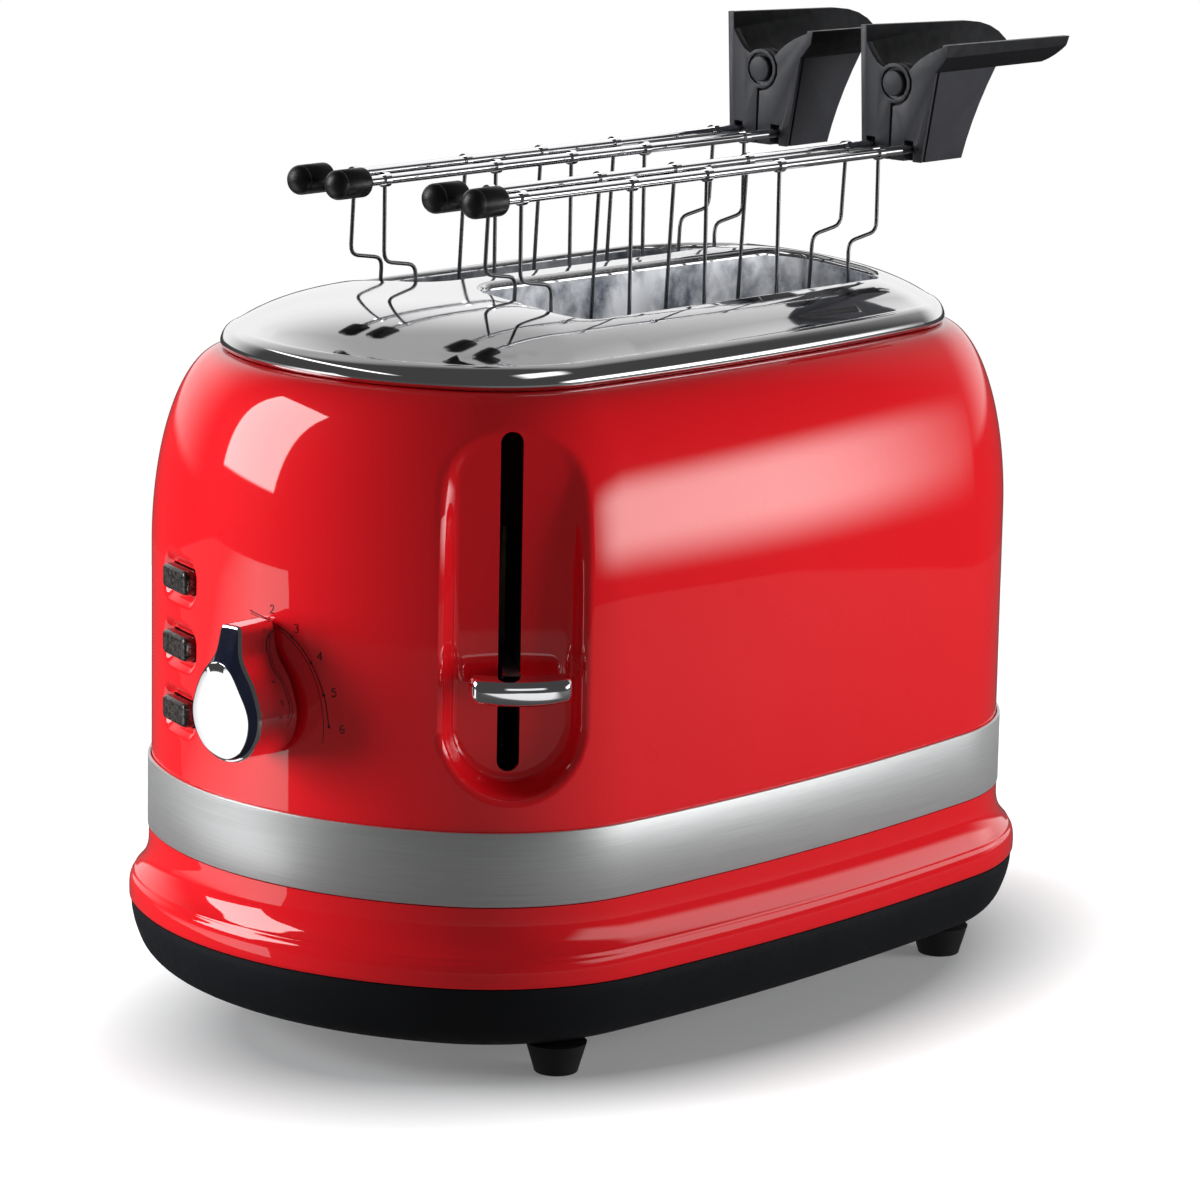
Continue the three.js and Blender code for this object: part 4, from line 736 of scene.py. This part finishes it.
def make_top_plate():
    """The dome with its bead and the rolled edges of the slots, and the slots' inner walls."""
    build = Builder()
    plan, triangles = plate_field()
    build.points += [(x, y, dome_height(x, y)) for x, y in plan]
    build.faces += triangles
    rim = PLATE_CROWN - RIM_DROP
    foot = shell_high[2] + 0.3
    bead = spline([
        (0.0, 0.0), (-0.14, 0.022), (-0.38, 0.10), (-0.66, 0.25), (-0.88, 0.47), (-1.0, 0.70), (-0.96, 0.88),
        (-0.82, 1.0), (-0.62, 1.04)], 4)
    rings = [plan_ring(DOME_EDGE - inward * BEAD_WIDTH, rim - fall * (rim - foot)) for inward, fall in bead]
    build.add_rings(rings, False)
    for side, name in ((-1, "left"), (1, "right")):
        rolls = []
        for turn in np.linspace(0, math.pi / 2, 8):
            outline = slot_outline(side, SLOT_ROLL * (1 - math.sin(turn)))
            drop = SLOT_ROLL * (1 - math.cos(turn))
            rolls.append([(x, y, dome_height(x, y) - drop) for x, y in outline])
        build.add_rings(rolls, False)
        front, back = slot_outline(side, 0.0), slot_outline(side, LINER_WALL)
        tops = np.array(rolls[-1])[:, 2]
        heights = [tops + (liner_low[2] - tops) * share for share in np.linspace(0, 1, 9)]
        rings = [raised(front, z) for z in heights] + [raised(back, z) for z in heights[::-1]]
        wall = loft("slot_wall_" + name, rings, SLOT_STEEL_PAINTED_REFLECTIONS, smooth=50)
        finish_piece(wall, "root", "polished_steel", "slot_liner_" + name)
    plate = new_object("polished_top", build.points, build.faces, POLISHED, smooth=60)
    with edited(plate.data) as bm:
        bmesh.ops.remove_doubles(bm, verts=bm.verts, dist=0.02 * MM)
        bmesh.ops.recalc_face_normals(bm, faces=bm.faces)
    apply_modifier(plate, "SOLIDIFY", thickness=0.7 * MM, offset=-1.0)
    shade(plate, 60)
    finish_piece(plate, "root", "polished_steel", "top_plate")


# Round pieces


def revolve(profile):
    """Rings round Z from radius and height pairs."""
    return np.array([raised(circle(r, 48), z) for r, z in profile])


def make_feet():
    bottom, top = 6.4, 8.6
    for node in ("foot_front_left", "foot_front_right", "foot_rear_left", "foot_rear_right"):
        low, high = span(node)
        x, y = (low[:2] + high[:2]) / 2
        tall = high[2]
        profile = spline([
            (TURNED_HOLE, 0), (bottom - 1.2, 0), (bottom - 0.3, 0.3), (bottom, 1.2), (top, tall)], 4)
        rings = revolve([*profile, (TURNED_HOLE, tall)]) + [x, y - PLAN_Y, 0]
        finish_piece(solid_loft(node + "_tapered", rings, FOOT), "root", "foot_rubber", node)


def outline_normals(points):
    ahead, behind = np.roll(points, -1, axis=0), np.roll(points, 1, axis=0)
    along = ahead - behind
    along /= np.linalg.norm(along, axis=1)[:, None]
    return np.column_stack([along[:, 1], -along[:, 0]])


def knob_outline():
    """A round body whose sides sweep in to a narrow pointer; anticlockwise from the bottom."""
    turn = np.radians(np.linspace(-90, 12, 30))
    lower = KNOB_RADIUS * np.column_stack([np.cos(turn), np.sin(turn)])
    right = np.vstack([lower, spline(KNOB_SIDE, 5)])
    return np.vstack([right, (right * [-1, 1])[::-1][1:-1]])


def polar_reach(points, angles):
    """How far a closed curve round the origin is at each angle."""
    turn = np.arctan2(points[:, 1], points[:, 0])
    return np.interp(angles, *np.array(sorted(zip(turn, np.hypot(*points.T)))).T, period=2 * math.pi)


def make_knob():
    """A shallow drop with a level face, whose own outline leans left, and a bevel round it, coloured near
    black as a painted dark reflection.
    """
    rear, front = knob_high[1] - PLAN_Y, knob_low[1] - PLAN_Y
    deep = rear - front
    outline = knob_outline()
    normals = outline_normals(outline)
    heart, bevel_width = np.array([0.0, 1.0]), 0.8
    edge = outline - normals * bevel_width
    angles = np.arctan2(*(edge - heart).T[::-1])
    reach = np.hypot(*(edge - heart).T)
    face_curve = spline([*KNOB_FACE, KNOB_FACE[0]], 8)[:-1]
    face_reach = np.minimum(polar_reach(face_curve - heart, angles), reach - 0.25)
    face = heart + (edge - heart) * (face_reach / reach)[:, None]

    def place(points, depth):
        rise = points[:, 1] - KNOB_SLOPE_START
        fall = (np.sqrt(rise ** 2 + 1.0) + rise) / 2 * KNOB_SLOPE
        y = rear - depth + fall * depth / deep
        return np.column_stack([points[:, 0] + KNOB_X, y, points[:, 1] + KNOB_Z])

    levels = [(0.8, 0.0), (0.2, 0.3), (0.0, 0.9), (0.0, deep - 1.5), (0.1, deep - 1.15), (0.35, deep - 0.85)]
    rings = [place(outline - normals * inset, depth) for inset, depth in levels]
    rings += [place(edge, deep - 0.7), place(face, deep - 0.05)]
    rings += [place(heart + (face - heart) * share, deep) for share in (0.98, 0.8, 0.6, 0.4, 0.2)]
    finish_piece(solid_loft("chrome_knob", rings, CHROME, smooth=13), "dial", "chrome_trim", "browning_knob")
    lip = heart + (face - heart) * (1 + 0.1 / face_reach)[:, None]
    bevel = [place(at, deep - back) for at, back in ((edge, 1.2), (edge, 0.62), (lip, 0.02), (lip, 0.6))]
    finish_piece(loft("knob_bevel", bevel, KNOB_PAINTED_DARK_REFLECTION, smooth=60), "dial", "chrome_trim")


def make_lever():
    """A bar that bows back and closes in towards its ends, with a belly below."""
    low, high = span("lever_knob")
    where = wall_frame(RECESS_ANGLE, (low[2] + high[2]) / 2)
    half_wide, half_tall, front, deep, bow, aside = 14.1, 3.5, 10.4, 10.0, 3.4, 1.6
    squareness, end_run, end_size, belly = 0.72, 0.14, 0.25, 0.28
    turn = np.linspace(0, 2 * math.pi, 40, endpoint=False)
    across, over = (np.sign(wave) * abs(wave) ** squareness for wave in (np.cos(turn), np.sin(turn)))
    rings = []
    for t in np.linspace(-1, 1, 41):
        past = max(abs(t) - (1 - end_run), 0) / end_run
        grow = end_size + (1 - end_size) * math.sqrt(max(1 - past ** 2, 0))
        sag = np.where(over < 0, 1 + belly * (1 - t * t), 1.0)
        out = front - deep / 2 - bow * t * t + across * deep / 2 * grow
        rings.append(on_frame(where, half_wide * t + aside, over * half_tall * grow * sag, out))
    lever = solid_loft("chrome_lever", rings, CHROME, smooth=50)
    finish_piece(lever, "carriage", "chrome_trim", "lever_knob")


# Cages


def tube(points, radius, sides=12):
    """Rings of a round wire along a path."""
    p = np.array(points, float)
    tangents = np.gradient(p, axis=0)
    tangents /= np.linalg.norm(tangents, axis=1)[:, None]
    normal = np.array([1.0, 0.0, 0.0])
    turn = np.linspace(0, 2 * math.pi, sides, endpoint=False)[:, None]
    rings = []
    for point, tangent in zip(p, tangents):
        normal = normal - tangent * (normal @ tangent)
        normal = normal / np.linalg.norm(normal)
        other = np.cross(tangent, normal)
        rings.append(point + radius * (np.cos(turn) * normal + np.sin(turn) * other))
    return np.array(rings)


def bent_path(corners):
    """A path of straight runs with round bends."""
    bend = 3.0
    c = [np.array(p, float) for p in corners]
    points = [c[0]]
    for before, corner, after in zip(c, c[1:], c[2:]):
        back = (before - corner) / np.linalg.norm(before - corner)
        on = (after - corner) / np.linalg.norm(after - corner)
        for t in np.linspace(0, 1, 5):
            points.append(corner + back * bend * (1 - t) ** 2 + on * bend * t ** 2)
    points.append(c[-1])
    return points


def make_frame(node, body, x, tilt, set_back):
    """One side of a cage: a rail with collars, and the wires that hang from it."""
    low, high = span(node)
    middle = SLOT_Y + set_back
    bottom, jog = low[2] + WIRE_RADIUS - RAIL_Z, JOG_Z - RAIL_Z
    rail, wires = Builder(), Builder()
    rail.add_rings(tube([(0, TIP_END + 2.0, 0), (0, high[1] - PLAN_Y, 0)], RAIL_RADIUS, 20))
    for side in (-1, 1):
        outer, inner = middle + side * WIRE_OUTER, middle + side * WIRE_INNER
        corners = (outer, 0), (outer, jog), (inner, jog - 2), (inner, bottom), (middle, bottom)
        wires.add_rings(tube(bent_path([(0, *corner) for corner in corners]), WIRE_RADIUS))
    for y in (middle - WIRE_PITCH, middle, middle + WIRE_PITCH):
        wires.add_rings(tube([(0, y, 0), (0, y, bottom)], WIRE_RADIUS))
    for dy in (-WIRE_OUTER, -WIRE_PITCH, 0, WIRE_PITCH, WIRE_OUTER):
        rail.add_rings(tube([(0, middle + dy + end, 0) for end in (-1.1, -0.9, 0.9, 1.1)], COLLAR_RADIUS, 20))
    angle = math.radians(tilt)
    for name, part, look, nodes in (("_rail", rail, WIRE, [node]), ("_wires", wires, THIN_WIRE, [])):
        across, along, up = np.array(part.points).T
        turned = np.column_stack([
            across * math.cos(angle) + up * math.sin(angle) + x, along,
            up * math.cos(angle) - across * math.sin(angle) + RAIL_Z])
        finish_piece(new_object(node + name, turned, part.faces, look, smooth=50), body, "cage_wire", *nodes)


def make_tip(node, body, x):
    """A black cap on a rail's front end, with a groove round it."""
    long, r, rear_round = TIP_LENGTH, TIP_RADIUS, 1.2
    turn = np.linspace(0, math.pi / 2, 9)
    dome = [(max(r * math.sin(t), TURNED_HOLE), TIP_DOME * (1 - math.cos(t))) for t in turn]
    groove = (1, 0.25), (0.965, 0.27), (0.965, 0.29), (1, 0.31)
    groove = [(r * size, long * share) for size, share in groove]
    rear = [(r - rear_round * (1 - math.cos(t)), long - rear_round * (1 - math.sin(t))) for t in turn]
    rings = revolve([*dome, *groove, *rear, (TURNED_HOLE, long)])[..., [0, 2, 1]] + [x, TIP_END, RAIL_Z]
    finish_piece(solid_loft(node + "_cap", rings, TIP, smooth=50), body, "tip_rubber", node)


def make_cage(name, side):
    jaw = name + "_jaw"
    left_x, right_x = side * SLOT_X - RAIL_GAP, side * SLOT_X + RAIL_GAP
    make_frame(name + "_frame_left", name, left_x, TILT_LEFT, LEFT_SET_BACK)
    make_frame(name + "_frame_right", jaw, right_x, 0.0, 0.0)
    make_tip(name + "_tip_left", name, left_x)
    make_tip(name + "_tip_right", jaw, right_x)
    # Painted shade on each grip: the left half's inner faces and the right half's lip take a near-black copy
    # of the grip plastic
    behind = span(name + "_grip_left")[0][1] + 1.5
    for half, body, lean, axis, start in (
            ("left", name, 0.15, 1, behind), ("right", jaw, 0.5, 2, GRIP_LIP_Z)):
        grip = rounded_copy(f"{name}_grip_{half}", body, "grip_plastic", 0.7)
        grip.data.materials.append(GRIP_PAINTED_SHADE)
        for polygon in grip.data.polygons:
            if polygon.normal.x > lean and polygon.center[axis] > start * MM:
                polygon.material_index = 1
    rounded_copy(name + "_pivot_pin", name, "grip_plastic", 0.5, angle=50.0)


# Controls


def make_buttons():
    """Flat caps with rounded edges on a thinner stem that reaches back to the board."""
    profile = [
        (4.0, -8.0), (3.0, -8.0), (3.0, -2.0), (0.0, -2.0), (0.0, BUTTON_PROUD - 1.0),
        (0.3, BUTTON_PROUD - 0.3), (1.0, BUTTON_PROUD), (2.6, BUTTON_PROUD)]
    for level in BUTTONS:
        node, where, rings = "button_" + level, button_frame(level), []
        for inset, out in profile:
            half_x, half_z = BUTTON_WIDE / 2 - inset, max(BUTTON_TALL / 2 - inset, 0.3)
            outline = rounded_rectangle(half_x, half_z, max(BUTTON_CORNER - inset, 0.2), 6)
            rings.append(on_frame(where, *outline.T, out))
        finish_piece(solid_loft(node + "_cap", rings, SMOKE, smooth=50), node, "smoked_button", node)


def wall_points(across, heights, lift):
    """Points on the front wall, just above its enamel, from places across the wall and heights."""
    angles = np.linspace(0.0, math.pi / 2, 400)
    plan = np.array([quadrant_point(a, lift - SHELL_INSET) for a in angles])
    across = np.array(across, float)
    y = -np.interp(abs(across), plan[::-1, 0], plan[::-1, 1])
    return np.column_stack([across, y, heights])


def make_stroke(build, places, width):
    """A flat printed stroke along places given across and up on the front wall."""
    p = np.array(places, float)
    along = np.gradient(p, axis=0)
    along /= np.linalg.norm(along, axis=1)[:, None]
    side = np.column_stack([-along[:, 1], along[:, 0]]) * width / 2
    edges = [p - side, p + side]
    rings = [wall_points(e[:, 0], e[:, 1], lift) for lift, e in (
        (-0.1, edges[0]), (0.04, edges[0]), (0.04, edges[1]), (-0.1, edges[1]))]
    build.add_rings(np.array(rings).transpose(1, 0, 2))


def make_dial_print():
    """A pair of thin arcs that drift apart, dots on the outer one and a number by each dot."""
    build = Builder()
    make_stroke(build, spline(DIAL_OUTER, 8), DIGIT_STROKE)
    make_stroke(build, spline(DIAL_INNER, 8), 0.18)
    for x, z in DIAL_DOTS:
        make_stroke(build, [(x + d, z) for d in np.linspace(-0.4, 0.4, 5)], 0.8)
    for place, digit in zip(DIGIT_PLACES, DIGITS):
        for stroke in digit:
            path = spline(stroke, 4) if len(stroke) > 2 else np.linspace(stroke[0], stroke[1], 4)
            make_stroke(build, path * DIGIT_SIZE + place, DIGIT_STROKE)
    piece = new_object("dial_numbers", build.points, build.faces, INK, smooth=50)
    finish_piece(piece, "root", "red_enamel")


# Studio


def direction(azimuth, elevation):
    """Azimuth 0 points from the object to -Y, and 90 to +X."""
    a, e = math.radians(azimuth), math.radians(elevation)
    return Vector((math.sin(a) * math.cos(e), -math.cos(a) * math.cos(e), math.sin(e)))


def flat_piece(name, corners):
    mesh = bpy.data.meshes.new(name)
    mesh.from_pydata(corners, [], [tuple(range(len(corners)))])
    return add_object(name, mesh)


def aim(thing, place, target, axis):
    """Puts a lamp or card at its place with one of its axes towards the target."""
    thing.location = place
    thing.rotation_euler = (Vector(target) - Vector(place)).to_track_quat(axis, "Y").to_euler()


def make_floor():
    """A white sheet, a little luminous, as on a lit table, with a painted shadow under the object where its
    glow dims, besides the lamps' own shadows.
    """
    floor = flat_piece("floor", [(x, y, 0) for x, y in circle(FLOOR_REACH, 96)])
    look = Look("floor_white", (0.6, 0.605, 0.62), 0.6, Specular_IOR_Level=0.2)
    half_x, half_y, aside = FLOOR_SHADE
    place = look.add("ShaderNodeMapping", {
        "Vector": look.coordinates, "Location": (-aside / half_x, aside / half_y, 0),
        "Scale": (1 / half_x, 1 / half_y, 0)}).outputs["Vector"]
    away = look.add("ShaderNodeVectorMath", {0: place}, operation="LENGTH").outputs["Value"]
    # Painted shadow: the glow is low round the object's middle and rises to full away from it
    look.glow(look.ramp(away, *FLOOR_GLOW, *FLOOR_SHADE_EDGE))
    floor.data.materials.append(look.material)
    floor.visible_glossy = False
    floor.visible_diffuse = False


def make_light(name, place, target, size, power):
    data = bpy.data.lights.new(name, "AREA")
    data.shape = "RECTANGLE"
    data.size, data.size_y = size
    data.energy = power
    light = add_object(name, data)
    aim(light, place, target, "-Z")
    light.visible_camera = False
    light.visible_glossy = False
    return light


def make_card(name, place, target, size, strength, fade):
    """A soft box seen in the gloss: a clear plane that glows, less towards its edges."""
    half_x, half_y = size[0] / 2, size[1] / 2
    card = flat_piece(name, [(x * half_x, y * half_y, 0) for x, y in ((-1, -1), (1, -1), (1, 1), (-1, 1))])
    aim(card, place, target, "Z")
    look = Look(name + "_glow", (0, 0, 0), 1.0)
    glow = strength
    for axis, half, soft in (("X", half_x, fade[0]), ("Y", half_y, fade[1])):
        away = look.calculate("ABSOLUTE", look.part(look.coordinates, axis))
        inside = look.ramp(away, 1.0, 0.0, half * (1 - soft), half, "SMOOTHSTEP")
        glow = look.calculate("MULTIPLY", glow, inside)
    emission = look.add("ShaderNodeEmission", {"Strength": glow})
    clear = look.add("ShaderNodeBsdfTransparent")
    both = look.add("ShaderNodeAddShader", {0: emission.outputs[0], 1: clear.outputs[0]})
    look.link(both.outputs[0], look.tree.nodes["Material Output"].inputs["Surface"])
    card.data.materials.append(look.material)
    hide_card(card)
    return card


def hide_card(card):
    """A card shows in gloss only; lamps of its own light what it would."""
    card.visible_camera = False
    card.visible_diffuse = False
    card.visible_shadow = False


def light_only(light, state, names):
    """Lets a lamp or card light the named pieces alone (INCLUDE), or all but these (EXCLUDE)."""
    group = bpy.data.collections.new(light.name + "_pieces")
    for name in names:
        group.objects.link(bpy.data.objects[name])
    for entry in group.collection_objects:
        entry.light_linking.link_state = state
    light.light_linking.receiver_collection = group


def make_table():
    """What the gloss sees of the table: a pale round top and a brighter sheet at the front left."""
    # The last four say what is left of the light at the dim end, which way it grows, and from where to where
    for name, corners, height, light, fade, toward, start, stop in (
            ("table_top", circle(TABLE_REACH, 72), 0.0005, TABLE_LIGHT, 0.42, (1, 0, 0), 0.1, 0.42),
            ("table_sheet", SHEET_CORNERS, 0.002, SHEET_LIGHT, SHEET_FADE, (1, -1, 0), -0.16, 0.16)):
        card = flat_piece(name, [(x, y, height) for x, y in corners])
        look = Look(name + "_glow", (0, 0, 0), 1.0)
        look.glow(look.ramp(look.dot(look.coordinates, toward), light * fade, light, start, stop))
        card.data.materials.append(look.material)
        hide_card(card)


def make_world():
    """White to the camera; a bright backdrop behind the object and a dim room all round for the rest."""
    world = bpy.data.worlds.new("studio")
    bpy.context.scene.world = world
    world.use_nodes = True
    background = world.node_tree.nodes["Background"]
    background.inputs["Strength"].default_value = 1.0
    nodes = Nodes(world.node_tree)

    def multiply(first, second):
        return nodes.calculate("MULTIPLY", first, second)

    def soft_ramp(value, low, high, edge):
        return nodes.ramp(value, low, high, *edge, "SMOOTHSTEP")

    toward = nodes.add("ShaderNodeTexCoord").outputs["Generated"]
    height = nodes.part(toward, "Z")
    behind = soft_ramp(nodes.dot(toward, direction(BACKDROP_AZIMUTH, 0)), 0.0, 1.0, BACKDROP_SIDES)
    below = soft_ramp(height, 1.0, 0.0, BACKDROP_TOP)
    backdrop = multiply(multiply(behind, below), soft_ramp(height, 0.0, 1.0, HORIZON))
    gloss = nodes.calculate("ADD", multiply(backdrop, BACKDROP_LIGHT), ROOM_GLOSS)
    path = nodes.add("ShaderNodeLightPath")
    spread = path.outputs["Is Diffuse Ray"]
    room = soft_ramp(height, ROOM_GROUND, ROOM_SKY, ROOM_EDGE)
    seen = nodes.calculate(
        "ADD", multiply(room, spread), multiply(gloss, nodes.calculate("SUBTRACT", 1.0, spread)))
    nodes.link(nodes.calculate("MAXIMUM", path.outputs["Is Camera Ray"], seen), background.inputs["Color"])


def make_studio():
    ONLY, NOT = "INCLUDE", "EXCLUDE"
    settings = bpy.context.scene.view_settings
    settings.view_transform, settings.look = "Standard", "None"
    make_world()
    make_floor()
    make_table()
    front, side, rails, body = (
        Vector(place) for place in ((0, -0.14, 0.17), (0.085, -0.012, 0.165), (0, 0, 0.24), (0, 0, 0.12)))
    left, wide = direction(-52, 12) * 1.4, (0.8, 0.8)
    top, skirt, lever, band, wall = ([name] for name in (
        "polished_top", "flared_skirt", "chrome_lever", "brushed_band", "slot_wall_right"))
    cages = [f"cage_{cage}_frame_{half}_rail" for cage in ("left", "right") for half in ("left", "right")]
    # Name, place, target, size, strength, fade at the edges, and the pieces that it lights alone or not
    cards = [
        ("window_card", front + direction(-52, 23) * 1.3, front, (0.62, 0.86), 5.6, (0.06, 0.06), NOT, top),
        ("edge_card", front + direction(-45, 34) * 1.3, front, (1.9, 0.1), 2.4, (0.4, 0.4), ONLY, top),
        ("corner_card", front + direction(100, 46), front, (0.8, 0.4), 1.5, (0.6, 0.5), ONLY, top),
        ("sky_card", front + direction(-130, 52) * 1.2, front, (2.8, 1.8), 0.36, (0.5, 0.8), ONLY, top),
        ("side_card", side + direction(126, 2.5) * 0.7, side, (0.92, 0.35), 3.8, (0.75, 0.75), NOT, skirt),
        ("skirt_card", side + direction(134, 19) * 0.65, side, (1.5, 0.5), 1.2, (0.4, 0.5), ONLY, skirt),
        ("lever_card", (0.42, -0.32, 0.01), (0.42, -0.32, 1.0), (0.5, 0.5), 0.8, (0.2, 0.2), ONLY, lever),
        ("lever_front_card", (0.95, -0.62, 0.36), side, (0.9, 0.42), 0.95, (0.3, 0.4), ONLY, lever),
        ("rail_card", rails + direction(-172, 40) * 0.9, rails, (1.1, 0.8), 1.0, (0.4, 0.5), ONLY, cages)]
    for *card, state, pieces in cards:
        light_only(make_card(*card), state, pieces)
    # The same of the lamps, with their watts
    lamps = [
        ("left_lamp", left, body, wide, 29, NOT, band),
        ("band_lamp", left, body, wide, 16, ONLY, band),
        ("slot_lamp", direction(75, 50) * 0.8, (0.02, 0, 0.19), (0.2, 0.2), 3.2, ONLY, wall)]
    for *lamp, state, pieces in lamps:
        light_only(make_light(*lamp), state, pieces)
    make_light("right_lamp", direction(126, 8) * 1.4, body, wide, 17)


def make_camera():
    data = bpy.data.cameras.new("camera")
    data.lens, data.sensor_width = CAMERA_LENS, CAMERA_SENSOR
    data.shift_x, data.shift_y = CAMERA_SHIFT
    data.clip_start, data.clip_end = 0.05, 50
    camera = add_object("camera", data)
    forward = (CAMERA_TARGET - CAMERA_AT).normalized()
    right = forward.cross(Vector((0, 0, 1))).normalized()
    up = right.cross(forward)
    rolled_right = right * math.cos(CAMERA_ROLL) + up * math.sin(CAMERA_ROLL)
    rolled_up = up * math.cos(CAMERA_ROLL) - right * math.sin(CAMERA_ROLL)
    matrix = Matrix((rolled_right, rolled_up, -forward)).transposed().to_4x4()
    matrix.translation = CAMERA_AT
    camera.matrix_world = matrix
    bpy.context.scene.camera = camera


make_camera()
paint_frame()
make_shell()
make_band()
make_skirt()
make_base()
make_top_plate()
make_feet()
make_knob()
make_dial_print()
make_lever()
make_buttons()
make_cage("cage_left", -1)
make_cage("cage_right", 1)
make_studio()
